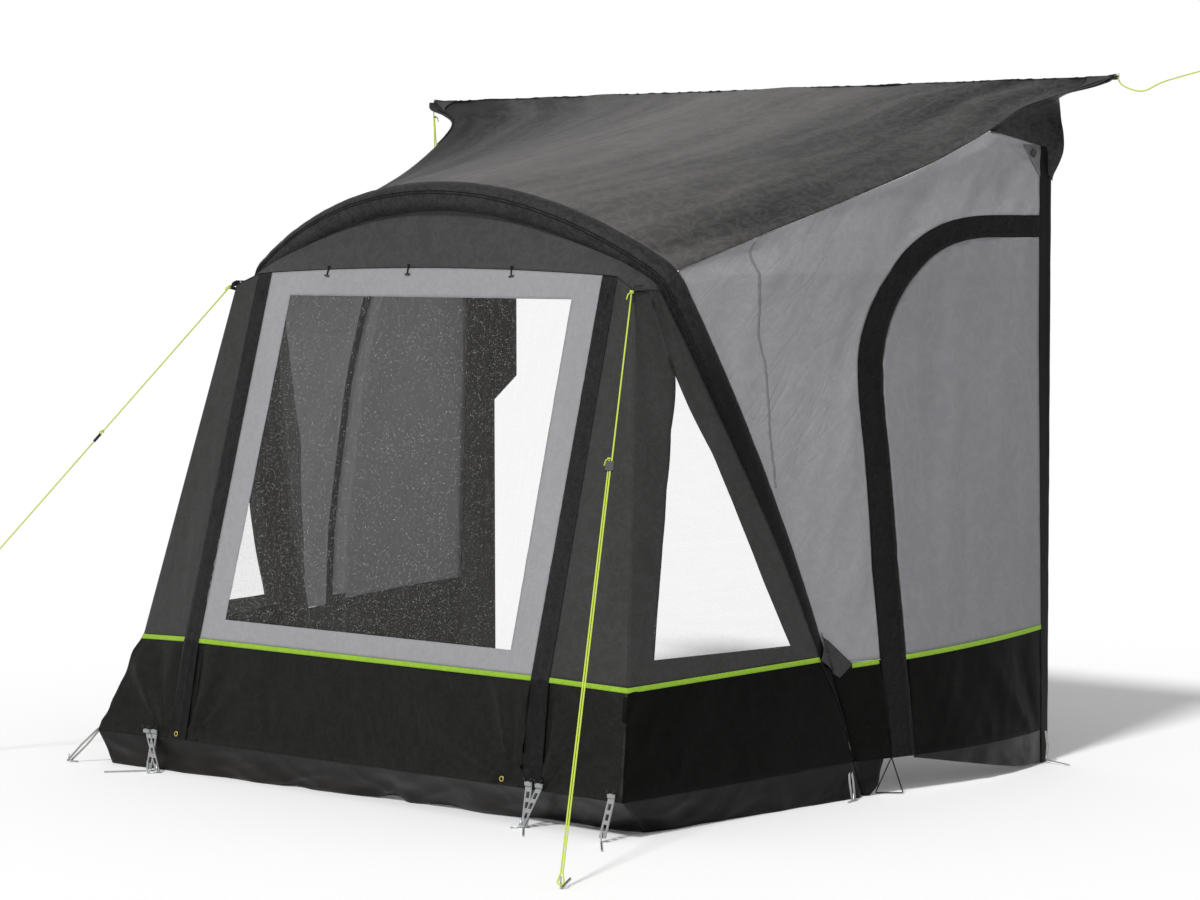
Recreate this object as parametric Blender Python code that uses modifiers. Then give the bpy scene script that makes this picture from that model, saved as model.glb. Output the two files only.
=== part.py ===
# Inflatable porch awning for a caravan: one air beam holds up a fabric roof, a sloped
# front with a window, two glazed bays, two side walls with zipped doors and a mud flap.
# X runs along the caravan, -Y points away from it and +Z is up. The ground is z = 0.
import bpy
import bmesh
from math import cos, sin, radians, pi
from mathutils import Vector, Matrix

# Driving sizes, in metres. Depths are measured outwards from the caravan's wall.
fabric = 0.003             # thickness of every coated sheet
seam_gap = 0.0003          # clearance between pieces that touch, and the trim at each sewn edge
front_reach = 2.30         # from the caravan's wall to the tip of the front pegs
hem_height = 0.12          # lower edge of the skirts, where the mud flap starts
crease_height = 0.455      # level at which the front changes its slope
top_level = 1.76           # level at which the front's stations end
stripe_width = 0.014       # coloured binding between the panels and the skirts
overrun = 0.02             # how far a cutter passes what it cuts
cloth_pitch = 0.1          # spacing of the lines where the wall's sheet bends

rail = {"height": 2.40, "half_length": 1.603, "bead_radius": 0.0035}

beam = {
    "apex": 1.991,         # centre line at the top of the arch
    "top_radius": 1.68,
    "shoulder_radius": 0.11,
    "leg_radius": 5.5,
    "foot_depth": 1.06,    # depth of the centre line where it meets the ground
    "apex_depth": 1.702,
    "sleeve_radius": 0.05,
    "sleeve_wall": 0.002,
}
top_angle = radians(32)
shoulder_angle = radians(71)
roof_angle = radians(50)   # where the roof's side edge leaves the arch

# Stations of the front, each given at the ground, hem, crease and top levels
front_depths = (2.090, 2.160, 2.1012, 1.7335)
panel_halves = (0.775, 0.775, 0.768, 0.764)
band_halves = (0.850, 0.850, 0.835, 0.825)
corner_halves = (1.170, 1.209, 1.1183, 0.9026)
corner_depths = (2.090, 2.179, 2.0408, 1.7535)

# Heights at the middle, the panel's edge, the zip band, the corner and the beam's leg
stripe_levels = (0.461, 0.461, 0.461, 0.445, 0.460)
top_edge_levels = (1.750, 1.730, 1.725, 1.685, 1.690)
valance_shares = (0, 0.71, 0.78, 1)    # how far along the arch each of them is reached

window = {"top_half": 0.649, "foot_half": 0.660, "top": 1.651, "foot": 0.540}

# Bay window corners as shares of the bay's width, each with its level
bay_window_shares = (0.145, 0.935, 0.842, 0.760, 0.590)
bay_window_levels = (0.529, 0.530, 0.893, 1.161, 1.414)

wall = {
    "rear_half": 1.34,     # half width of the awning at the caravan
    "rear_top_half": 1.37,
    "bulge": 0.09,
    "stripe_front": 0.455,
    "stripe_rear": 0.473,
    "strip": 0.06,         # fixed strip along the rear edge
    "gusset_drop": 0.28,   # from the rail to the gusset's lower end at the caravan
    "gusset_top_drop": 0.045,
}
cloth_columns = [cloth_pitch * i for i in range(2, 16)]    # depths and levels of the bends
cloth_rows = [cloth_pitch * i for i in (8, 12, 15, 16, 17, 18, 19, 20)]

# Side edge of the roof from the rail to the beam's shoulder. Its levels are shares of the
# height from the roof's corner on the beam up to the rail.
roof_edge_halves = (rail["half_length"], 1.547, 1.438, 1.345, 1.299, 1.235, 1.170, 1.120, 1.070)
roof_edge_depths = (0.0075, 0.056, 0.107, 0.177, 0.323, 0.580, 0.900, 1.130, 1.350)
roof_edge_shares = (1, 0.9506, 0.9071, 0.8457, 0.7199, 0.5476, 0.3858, 0.2735, 0.1687)
gusset_point = 4           # the edge point where the side wall meets the gusset
gusset_upper_point = 3

door = {
    "arch_depth": 0.25,    # centre of the door's rounded corner
    "below_gusset": 0.27,  # from the gusset's lower end to the door's top
    "width": 0.59,
    "height": 0.60,
    "band_width": 0.11,
    "band_top_width": 0.075,
    "squareness": 2.6,
    "clearance": 0.0012,
    "ground_clearance": 0.004,
}
door_edge_depths = (0.820, 0.845, 0.854)
band_edge_depths = (0.915, 0.960, 0.970)
door_edge_levels = (hem_height, crease_height, 0.75)
door_creases = (0.2, 0.35, 0.5, 0.65)          # depths where the door's sheet bends
door_rows = (0.7, 1.0, 1.25, 1.5, 1.7)
band_rows = (0.45, 0.8, 1.0)

pad = {"width": 0.17, "neck_width": 0.05, "thickness": 0.02, "top_drop": 0.005,
       "neck_top": 1.30, "neck_foot": 1.20, "foot": 0.004}

valve = {"level": 0.30, "radius": 0.018, "height": 0.010, "stem_radius": 0.010,
         "stem_length": 0.012, "bore": 0.006, "cap_radius": 0.021, "cap_height": 0.008,
         "grip_width": 0.006, "grip_length": 0.034, "grip_height": 0.006}
bladder_film = 0.0012

slider = {"level": 1.66, "width": 0.014, "length": 0.030, "height": 0.005,
          "tab_length": 0.035, "tab_width": 0.009, "tab_height": 0.002, "tab_share": 0.45,
         "tab_rise_share": 0.6}

ladder = {"width": 0.026, "length": 0.130, "thickness": 0.004, "top": 0.134,
          "opening_width": 0.014, "opening_height": 0.020, "openings": 3, "standoff": 0.0009}

ladder_places = {"left": -0.930, "middle": 0.812, "right": 1.165}

peg = {"radius": 0.003, "shaft": 0.150, "arm": 0.035, "bend": 0.006}
peg_heading_shares = (0.66, 0.75)      # how far a ladder's peg points along X and along Y
line_pieces = ("guy_line", "guy_runner", "guy_peg", "rail_cord")

guy = {
    "radius": 0.0025,
    "strand_spacing": 0.010,
    "runner_share": 0.32,  # how far down the line the runner sits
    "loop_radius": 0.0095,
    "flare": 0.038,        # where the two strands start to spread to the loop
    "tail": 0.012,
    "standoff": 0.006,
    "foot_level": 0.014,   # where the loop bears on the peg's arm
    "tab_width": 0.012,    # webbing tab sewn into the corner, which holds the line
    "tab_thickness": 0.003,
}
guy_top = (0.925, 1.790, 1.682)
guy_feet = {"right": (1.558, 2.858), "left": (1.950, 2.850)}
runner = {"width": 0.024, "length": 0.034, "thickness": 0.010, "bore_clearance": 0.0006}

# Routes of the rail's pull cords from the bead's end: outwards, forwards and up
right_cord_drops = ((0.006, 0.000, 0.000), (0.025, 0.000, -0.030), (0.105, 0.001, -0.052),
                    (0.190, 0.001, -0.022), (0.345, 0.000, 0.012))
left_cord_drops = ((0.006, 0.000, 0.000), (0.014, 0.001, -0.030), (0.010, 0.002, -0.120),
                   (0.008, 0.002, -0.215), (0.002, 0.002, -0.228), (-0.004, 0.002, -0.215),
                   (-0.006, 0.014, -0.120), (-0.002, 0.014, -0.060))

materials = {}
pieces = {}
parts = None
cutters = None
pitch = None


def blend(a, b, t):
    return a + (b - a) * t


def reading(x, stations, values):
    """Straight-line reading of values over rising stations, carried on past both ends."""
    last = len(stations) - 2
    k = 0
    while k < last and x > stations[k + 1]:
        k += 1
    t = (x - stations[k]) / (stations[k + 1] - stations[k])
    return blend(values[k], values[k + 1], t)


def levels():
    return (0, hem_height, crease_height, top_level)


# The beam: an arch of three tangent arcs in a plane that leans out towards its top

def arch_line(offset=0.0, top_steps=8, shoulder_steps=5, leg_steps=5):
    """Right half of the arch from its apex down, as (angle, x, z), pushed out by offset."""
    r_top, r_shoulder, r_leg = beam["top_radius"], beam["shoulder_radius"], beam["leg_radius"]
    x, z = 0.0, beam["apex"] - r_top
    line = []
    for i in range(top_steps):
        a = top_angle * i / top_steps
        line.append((a, x + (r_top + offset) * sin(a), z + (r_top + offset) * cos(a)))
    x += (r_top - r_shoulder) * sin(top_angle)
    z += (r_top - r_shoulder) * cos(top_angle)
    for i in range(shoulder_steps):
        a = blend(top_angle, shoulder_angle, i / shoulder_steps)
        line.append((a, x + (r_shoulder + offset) * sin(a), z + (r_shoulder + offset) * cos(a)))
    x += (r_shoulder - r_leg) * sin(shoulder_angle)
    z += (r_shoulder - r_leg) * cos(shoulder_angle)
    a_shoulder = shoulder_angle
    a_foot = shoulder_angle
    while z + (r_leg + offset) * cos(a_foot) > 0:
        a_foot += radians(1) / leg_steps
    low, high = shoulder_angle, a_foot
    for _ in range(40):
        a_foot = (low + high) / 2
        if z + (r_leg + offset) * cos(a_foot) > 0:
            low = a_foot
        else:
            high = a_foot
    for i in range(leg_steps + 1):
        a = blend(a_shoulder, a_foot, i / leg_steps)
        line.append((a, x + (r_leg + offset) * sin(a), z + (r_leg + offset) * cos(a)))
    return line


def running_length(line):
    """Length along the arch from its first point to each of its points."""
    run = [0.0]
    for p, q in zip(line, line[1:]):
        run.append(run[-1] + ((q[1] - p[1]) ** 2 + (q[2] - p[2]) ** 2) ** 0.5)
    return run


def beam_depth(z):
    return blend(beam["foot_depth"], beam["apex_depth"], z / beam["apex"])


def beam_half(z, offset=0.0):
    """Half distance between the legs at height z, below the shoulder."""
    line = [p for p in arch_line(offset) if p[0] >= shoulder_angle]
    line.reverse()
    return reading(z, [p[2] for p in line], [p[1] for p in line])


def seam_offset():
    """How far outside the centre line the roof and the walls meet the sleeve."""
    return 0.6 * beam["sleeve_radius"]


# The skins: where the fabric lies. Each returns a point on the right-hand side.

def front_skin(s, z):
    """Front and bay, wrapped from the middle (0) by the panel's edge (1), the zip band (2)
    and the corner (3) to the leg (4). A negative s lies on the left."""
    side = -1 if s < 0 else 1
    s = abs(s)
    depth = reading(z, levels(), front_depths)
    stations = (
        (0.0, depth),
        (reading(z, levels(), panel_halves), depth),
        (reading(z, levels(), band_halves), depth),
        (reading(z, levels(), corner_halves), reading(z, levels(), corner_depths)),
        (beam_half(z) - seam_offset(), beam_depth(z)),
    )
    k = min(int(s), 3)
    a, b = stations[k], stations[k + 1]
    return Vector((side * blend(a[0], b[0], s - k), -blend(a[1], b[1], s - k), z))


def roof_edge():
    """Side edge of the roof from the rail forwards, as (half width, depth, level)."""
    corner = arch_at(1.0)[2]
    rise = rail["height"] - corner
    return [(half, depth, corner + share * rise) for half, depth, share
            in zip(roof_edge_halves, roof_edge_depths, roof_edge_shares)]


def shoulder_edge():
    """Front edge of the side wall, rising: up the leg, over the shoulder, up the roof's edge."""
    line = [p for p in arch_line(seam_offset()) if p[0] >= roof_angle]
    line.reverse()
    rows = [(p[1], beam_depth(p[2]), p[2]) for p in line]
    return rows + roof_edge()[::-1]


def gusset_foot():
    return rail["height"] - wall["gusset_drop"]


def door_top():
    return gusset_foot() - door["below_gusset"]


def side_skin(depth, z):
    """Side wall at a depth and height. It bellies out between the leg and the rear edge."""
    rows = shoulder_edge()
    heights = [row[2] for row in rows]
    edge_half = reading(z, heights, [row[0] for row in rows])
    edge_depth = reading(z, heights, [row[1] for row in rows])
    rear_half = reading(z, (0, gusset_foot(), rail["height"]),
                        (wall["rear_half"], wall["rear_half"], wall["rear_top_half"]))
    q = 1 - depth / edge_depth
    belly = reading(z, (0, beam["apex"], rail["height"]), (wall["bulge"], 0, 0))
    x = blend(edge_half, rear_half, q) + max(belly, 0) * 4 * q * (1 - q)
    return Vector((x, -depth, z))


def inward(point):
    """Direction of the cloth's thickness. Neighbours share it, so their edges are mitred."""
    half, reach, rise = wall["rear_half"], front_reach / 2, rail["height"] / 2
    flat_share = 0.8
    x = max(-1.0, min(1.0, point.x / half))
    y = min(0.0, (point.y + reach * flat_share) / reach)
    z = max(0.0, (point.z - rise * flat_share) / rise)
    return -Vector((x ** 3, y ** 3, z ** 3)).normalized()


# Building blocks

def material(name, colour, roughness=0.8, metallic=0.0, alpha=1.0):
    made = bpy.data.materials.new(name)
    made.use_nodes = True
    shader = made.node_tree.nodes["Principled BSDF"]
    shader.inputs["Base Color"].default_value = (*colour, 1)
    shader.inputs["Roughness"].default_value = roughness
    shader.inputs["Metallic"].default_value = metallic
    shader.inputs["Alpha"].default_value = alpha
    made.diffuse_color = (*colour, alpha)
    materials[name] = made


def register(name, obj, finish):
    """Names the object, gives it its material and hangs it on the pitch."""
    for collection in obj.users_collection:
        collection.objects.unlink(obj)
    parts.objects.link(obj)
    obj.name = name
    obj.data.name = name
    obj.data.materials.clear()
    obj.data.materials.append(materials[finish])
    obj.parent = pitch
    pieces[name] = obj
    return obj


def from_bmesh(name, bm, finish):
    mesh = bpy.data.meshes.new(name)
    bm.to_mesh(mesh)
    bm.free()
    obj = bpy.data.objects.new(name, mesh)
    parts.objects.link(obj)
    return register(name, obj, finish)


def thicken(bm):
    """Trims an open sheet by a seam gap all round and gives it its thickness inwards."""
    bmesh.ops.remove_doubles(bm, verts=bm.verts[:], dist=seam_gap / 10)
    bmesh.ops.recalc_face_normals(bm, faces=bm.faces[:])
    rim = bmesh.ops.inset_region(bm, faces=bm.faces[:], thickness=seam_gap,
                                 use_boundary=True, use_even_offset=True)
    bmesh.ops.delete(bm, geom=rim["faces"], context="FACES")
    raised = bmesh.ops.extrude_face_region(bm, geom=bm.faces[:])
    for item in raised["geom"]:
        if isinstance(item, bmesh.types.BMVert):
            item.co += inward(item.co) * fabric
    bmesh.ops.recalc_face_normals(bm, faces=bm.faces[:])


def panel(name, finish, place, outline, holes=(), creases=(), rows=(), side=1):
    """A sheet cut to an outline on a skin's flat chart, creased along the lines named."""
    bm = bmesh.new()
    for loop in (outline, *holes):
        corners = [bm.verts.new((a, 0, z)) for a, z in loop]
        for first, second in zip(corners, corners[1:] + corners[:1]):
            bm.edges.new((first, second))
    bmesh.ops.triangle_fill(bm, use_beauty=True, edges=bm.edges[:], normal=(0, -1, 0))
    for a in creases:
        bmesh.ops.bisect_plane(bm, geom=bm.verts[:] + bm.edges[:] + bm.faces[:],
                               dist=seam_gap / 10, plane_co=(a, 0, 0), plane_no=(1, 0, 0))
    for z in rows:
        bmesh.ops.bisect_plane(bm, geom=bm.verts[:] + bm.edges[:] + bm.faces[:],
                               dist=seam_gap / 10, plane_co=(0, 0, z), plane_no=(0, 0, 1))
    for vert in bm.verts:
        vert.co = place(vert.co.x, vert.co.z)
        vert.co.x *= side
    thicken(bm)
    return from_bmesh(name, bm, finish)


def patch(name, finish, columns, rows):
    """A sheet over a grid whose rows are lists of points."""
    bm = bmesh.new()
    bmesh.ops.create_grid(bm, x_segments=columns, y_segments=len(rows) - 1, size=1)
    bm.verts.ensure_lookup_table()
    for vert in bm.verts:
        i = round((vert.co.x + 1) / 2 * columns)
        j = round((vert.co.y + 1) / 2 * (len(rows) - 1))
        vert.co = rows[j][i]
    thicken(bm)
    return from_bmesh(name, bm, finish)


def tube(name, finish, points, radius, resolution=2, caps=True):
    curve = bpy.data.curves.new(name, "CURVE")
    curve.dimensions = "3D"
    curve.bevel_depth = radius
    curve.bevel_resolution = resolution
    curve.use_fill_caps = caps
    spline = curve.splines.new("POLY")
    spline.points.add(len(points) - 1)
    for knot, point in zip(spline.points, points):
        knot.co = (*point, 1)
    obj = bpy.data.objects.new(name, curve)
    parts.objects.link(obj)
    if finish is None:
        return obj
    return register(name, obj, finish)


def as_mesh(obj):
    """Turns a curve object into a mesh object with welded caps."""
    graph = bpy.context.evaluated_depsgraph_get()
    graph.update()
    mesh = bpy.data.meshes.new_from_object(obj.evaluated_get(graph))
    bm = bmesh.new()
    bm.from_mesh(mesh)
    bmesh.ops.remove_doubles(bm, verts=bm.verts[:], dist=seam_gap / 10)
    bmesh.ops.recalc_face_normals(bm, faces=bm.faces[:])
    bm.to_mesh(mesh)
    bm.free()
    made = bpy.data.objects.new(obj.name, mesh)
    made.matrix_world = obj.matrix_world
    parts.objects.link(made)
    bpy.data.objects.remove(obj)
    return made


def as_cutter(obj):
    for collection in obj.users_collection:
        collection.objects.unlink(obj)
    cutters.objects.link(obj)
    obj.parent = pitch
    obj.hide_render = True
    obj.display_type = "WIRE"
    return obj


def cut(obj, cutter, solver="EXACT"):
    modifier = obj.modifiers.new("cut", "BOOLEAN")
    modifier.operation = "DIFFERENCE"
    modifier.solver = solver
    modifier.object = cutter


def join(obj, other):
    modifier = obj.modifiers.new("join", "BOOLEAN")
    modifier.operation = "UNION"
    modifier.object = other


def box_bmesh(size, matrix):
    bm = bmesh.new()
    bmesh.ops.create_cube(bm, size=1, matrix=matrix @ Matrix.Diagonal((*size, 1)))
    return bm


def box_cutter(name, size, matrix):
    mesh = bpy.data.meshes.new(name)
    bm = box_bmesh(size, matrix)
    bm.to_mesh(mesh)
    bm.free()
    return as_cutter(bpy.data.objects.new(name, mesh))


def turned(start, direction):
    """Matrix at start whose Z axis runs along direction and whose X axis lies level."""
    z = Vector(direction).normalized()
    x = Vector((0, 0, 1)).cross(z)
    x = x.normalized() if x.length > 0.01 else Vector((1, 0, 0))
    y = z.cross(x)
    matrix = Matrix((x, y, z)).transposed().to_4x4()
    matrix.translation = start
    return matrix


def rod(name, finish, start, direction, radius, length, sides=24):
    bm = bmesh.new()
    matrix = turned(start, direction) @ Matrix.Translation((0, 0, length / 2))
    bmesh.ops.create_cone(bm, cap_ends=True, segments=sides, radius1=radius, radius2=radius,
                          depth=length, matrix=matrix)
    if finish is None:
        mesh = bpy.data.meshes.new(name)
        bm.to_mesh(mesh)
        bm.free()
        return as_cutter(bpy.data.objects.new(name, mesh))
    return from_bmesh(name, bm, finish)


# The air beam, its sleeve and its valve

def beam_path():
    half = [Vector((x, -beam_depth(z), z)) for _, x, z in arch_line(leg_steps=7)]
    left = [Vector((-p.x, p.y, p.z)) for p in reversed(half[1:])]
    return left + half


def extended(path, length):
    """The path with both ends run on straight by a length."""
    first = path[0] + (path[0] - path[1]).normalized() * length
    last = path[-1] + (path[-1] - path[-2]).normalized() * length
    return [first, *path[1:-1], last]


def make_beam():
    """The bladder fills the sleeve. Both stand on the ground, cut level there."""
    long_path = extended(beam_path(), beam["sleeve_radius"])
    soil = 4 * beam["sleeve_radius"]
    ground = box_cutter("ground_cutter", (front_reach * 2, front_reach * 2, soil),
                        Matrix.Translation((0, -front_reach / 2, -soil / 2)))
    sleeve = as_mesh(tube("beam_sleeve", None, long_path, beam["sleeve_radius"], caps=False))
    shell = sleeve.modifiers.new("wall", "SOLIDIFY")
    shell.thickness = beam["sleeve_wall"]
    shell.offset = -1
    register("beam_sleeve", sleeve, "sleeve_cloth")
    cut(sleeve, ground)
    inner = beam["sleeve_radius"] - beam["sleeve_wall"] - seam_gap
    bladder = as_mesh(tube("air_beam", None, long_path, inner))
    register("air_beam", bladder, "bladder_film")
    cut(bladder, ground)
    air_path = extended(beam_path(), -beam["sleeve_radius"])
    cut(bladder, as_cutter(as_mesh(tube("air_space", None, air_path, inner - bladder_film))))
    seat, inside = valve_seat()
    stem = rod("stem_hole", None, seat - inside * valve["stem_length"] * 2, inside,
               valve["stem_radius"] + seam_gap, 4 * valve["stem_length"])
    cut(sleeve, stem)
    cut(bladder, stem)
    clear_path = extended(beam_path(), 2 * beam["sleeve_radius"])
    clearance = as_mesh(tube("sleeve_clearance", None, clear_path,
                             beam["sleeve_radius"] + seam_gap))
    return as_cutter(clearance)


def valve_seat():
    """Centre of the valve's flange on the right leg, and the way it faces, square to the leg."""
    z = valve["level"]
    low, high = z - valve["radius"], z + valve["radius"]
    along = Vector((beam_half(high) - beam_half(low), beam_depth(low) - beam_depth(high),
                    high - low)).normalized()
    facing = Vector((-1, 0, 0))
    facing = (facing - along * facing.dot(along)).normalized()
    centre = Vector((beam_half(z), -beam_depth(z), z))
    return centre + facing * (beam["sleeve_radius"] + 2 * seam_gap), facing


def make_valve():
    """Inflation valve low on the right leg, inside the awning, with a screw cap."""
    seat, inside = valve_seat()
    base = rod("inflation_valve", "valve_plastic", seat, inside, valve["radius"], valve["height"])
    stem = rod("valve_stem", None, seat - inside * valve["stem_length"], inside,
               valve["stem_radius"], valve["stem_length"] + valve["height"] / 2)
    join(base, stem)
    cut(base, rod("valve_bore", None, seat - inside * 2 * valve["stem_length"], inside,
                  valve["bore"], 4 * valve["stem_length"]))
    cap_start = seat + inside * (valve["height"] + seam_gap)
    cap = rod("valve_cap", "valve_plastic", cap_start, inside, valve["cap_radius"],
              valve["cap_height"])
    grip_reach = valve["cap_height"] / 2 + valve["grip_height"]
    grip = box_cutter("valve_grip", (valve["grip_width"], valve["grip_length"], grip_reach),
                      turned(cap_start + inside * (valve["cap_height"] / 2 + grip_reach / 2), inside))
    join(cap, grip)


# The roof and its bead

def roof_point(u, row):
    """Coons patch between the rail, the arch and the two side edges, at edge row v."""
    edge = [*roof_edge(), arch_at(1.0)]
    half, depth, level = edge[row]
    first, last = edge[0], edge[-1]
    v = (depth - first[1]) / (last[1] - first[1])
    a = abs(u)
    rear = (a * first[0], first[1], first[2])
    front = arch_at(a)
    middle_rear = (0.0, first[1], first[2])
    middle_front = arch_at(0.0)
    spine = [blend(middle_rear[i], middle_front[i], v) for i in range(3)]
    side_edge = (half, depth, level)
    point = []
    for i in range(3):
        across = blend(spine[i], side_edge[i], a)
        along = blend(rear[i], front[i], v)
        corners = blend(blend(middle_rear[i], first[i], a), blend(middle_front[i], last[i], a), v)
        point.append(across + along - corners)
    return Vector((-point[0] if u < 0 else point[0], -point[1], point[2]))


def arch_at(share):
    """Point of the roof's front edge at a share of the way from the apex to the shoulder."""
    line = [p for p in arch_line(seam_offset(), top_steps=16, shoulder_steps=12)
            if p[0] <= roof_angle + 1e-6]
    run = running_length(line)
    x = reading(share * run[-1], run, [p[1] for p in line])
    z = reading(share * run[-1], run, [p[2] for p in line])
    return (x, beam_depth(z), z)


def bead_depth():
    return roof_edge_depths[0] - seam_gap - rail["bead_radius"]


def make_roof(clearance):
    columns = 20
    rows = []
    for j in range(len(roof_edge_halves) + 1):
        rows.append([roof_point(2 * i / columns - 1, j) for i in range(columns + 1)])
    roof = patch("roof_sheet", "roof_cloth", columns, rows)
    cut(roof, clearance)
    rod("rail_bead", "bead_pvc",
        Vector((-rail["half_length"], -bead_depth(), rail["height"] - fabric / 2)),
        (1, 0, 0), rail["bead_radius"], 2 * rail["half_length"], sides=12)


# The front: valance, folding window panel, zip bands, wings and bays

def stripe(s):
    return reading(abs(s), (0, 1, 2, 3, 4), stripe_levels)


def top_edge(s):
    """Upper edge of the front; it bows up over the window."""
    s = abs(s)
    if s < 1:
        return blend(top_edge_levels[0], top_edge_levels[1], s * s)
    return reading(s, (1, 2, 3, 4), top_edge_levels[1:])


def panel_top(s):
    """What zips or is sewn to the valance stops half a cloth's thickness below it."""
    return top_edge(s) - fabric / 2


def make_valance(clearance):
    """Sloped cloth from the sleeve down to the front's upper edge, gathered at the corners."""
    line = [p for p in arch_line(top_steps=16, shoulder_steps=8) if p[2] >= top_edge_levels[4]]
    run = running_length(line)
    half = [i / 5 for i in range(6)] + [1.5] + [2 + i / 5 for i in range(6)]
    stations = [-s for s in reversed(half[1:])] + half
    drops = (0, 1 / 3, 2 / 3, 1)
    rows = [[] for _ in drops]
    for s in stations:
        along = run[-1] * reading(abs(s), (0, 1, 2, 3), valance_shares)
        x = reading(along, run, [p[1] for p in line])
        z = reading(along, run, [p[2] for p in line])
        upper = Vector((-x if s < 0 else x, -beam_depth(z), z))
        lower = front_skin(s, top_edge(s))
        for row, drop in zip(rows, drops):
            row.append(lower.lerp(upper, drop))
    valance = patch("valance", "roof_cloth", len(stations) - 1, rows)
    cut(valance, clearance)


def strip_outline(s0, s1, low, high, stations):
    """Outline of a strip from station s0 to s1 between two level functions."""
    inner = [s for s in stations if s0 < s < s1]
    line = [s0, *inner, s1]
    return [(s, low(s)) for s in line] + [(s, high(s)) for s in reversed(line)]


def stripe_top(s):
    return stripe(s) + stripe_width / 2


def stripe_foot(s):
    return stripe(s) - stripe_width / 2


def hem(s):
    return hem_height


def ground(s):
    return 0.0


def panel_foot(s):
    return hem_height + door["clearance"] / 2


def make_front():
    """Window panel, from the hem to the valance between the two zips."""
    steps = 10
    upper = [(1 - 2 * i / steps, panel_top(1 - 2 * i / steps)) for i in range(steps + 1)]
    border = [(-1, stripe_top(1)), (1, stripe_top(1)), *upper]
    width_top = reading(window["top"], levels(), panel_halves)
    width_foot = reading(window["foot"], levels(), panel_halves)
    pane = [(-window["foot_half"] / width_foot, window["foot"]),
            (window["foot_half"] / width_foot, window["foot"]),
            (window["top_half"] / width_top, window["top"]),
            (-window["top_half"] / width_top, window["top"])]
    panel("window_border", "grey_cloth", front_skin, border, holes=[pane])
    panel("window_pane", "clear_film", front_skin, pane)
    panel("stripe_front", "green_binding", front_skin,
          strip_outline(-1, 1, stripe_foot, stripe_top, (0,)))
    panel("skirt_front", "skirt_cloth", front_skin,
          strip_outline(-1, 1, panel_foot, stripe_foot, (0,)))


def make_side_of_front(side, word, clearance):
    panel("zip_band_" + word, "sleeve_cloth", front_skin,
          strip_outline(1, 2, hem, panel_top, ()), rows=(crease_height,), side=side)
    panel("wing_" + word, "dark_cloth", front_skin,
          strip_outline(2, 3, stripe_top, panel_top, ()), side=side)
    pane = [(3 + share, z) for share, z in zip(bay_window_shares, bay_window_levels)]
    bay = panel("bay_" + word, "dark_cloth", front_skin,
                strip_outline(3, 4, stripe_top, panel_top, ()), holes=[pane],
                rows=bay_window_levels[2:4], side=side)
    cut(bay, clearance)
    panel("bay_pane_" + word, "clear_film", front_skin, pane, rows=bay_window_levels[2:4],
          side=side)
    binding = panel("stripe_corner_" + word, "green_binding", front_skin,
                    strip_outline(2, 4, stripe_foot, stripe_top, (3,)), creases=(3,), side=side)
    cut(binding, clearance)
    skirt = panel("skirt_corner_" + word, "skirt_cloth", front_skin,
                  strip_outline(2, 4, hem, stripe_foot, (3,)), creases=(3,), side=side)
    cut(skirt, clearance)


def make_mud_flap(clearance):
    """One flap round the front and both bays, tucked in towards the ground."""
    flap = panel("mud_flap", "flap_pvc", front_skin,
                 strip_outline(-4, 4, ground, hem, (-3, -2, -1, 0, 1, 2, 3)),
                 creases=(-3, -2, -1, 0, 1, 2, 3))
    cut(flap, clearance)


# The side walls, their doors and the pieces at the rear edge

def round_corner(width, height, steps=9):
    """Rounded upper front corner of the door, from its front edge over to its top."""
    power = 2 / door["squareness"]
    arch_level = door_top() - door["height"]
    points = []
    for i in range(steps + 1):
        a = pi / 2 * i / steps
        points.append((door["arch_depth"] + width * cos(a) ** power if i < steps
                       else door["arch_depth"],
                       arch_level + height * (sin(a) ** power if i else 0)))
    return points


def door_line(clearance=0.0):
    """Front and top edge of the door opening, rising from the hem."""
    lower = [(d - clearance, z) for d, z in zip(door_edge_depths, door_edge_levels)]
    return lower + round_corner(door["width"] - clearance, door["height"] - clearance)


def band_line(outset=0.0):
    """Outer edge of the band that covers the door's zip, rising from the hem."""
    lower = [(d + outset, z) for d, z in zip(band_edge_depths, door_edge_levels)]
    width = door["width"] + door["band_width"] + outset
    return lower + round_corner(width, door["height"] + door["band_top_width"] + outset)


def depth_on(line, z):
    return reading(z, [p[1] for p in line], [p[0] for p in line])


def side_stripe(depth):
    return reading(depth, (0, beam_depth(crease_height)), (wall["stripe_rear"], wall["stripe_front"]))


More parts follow.
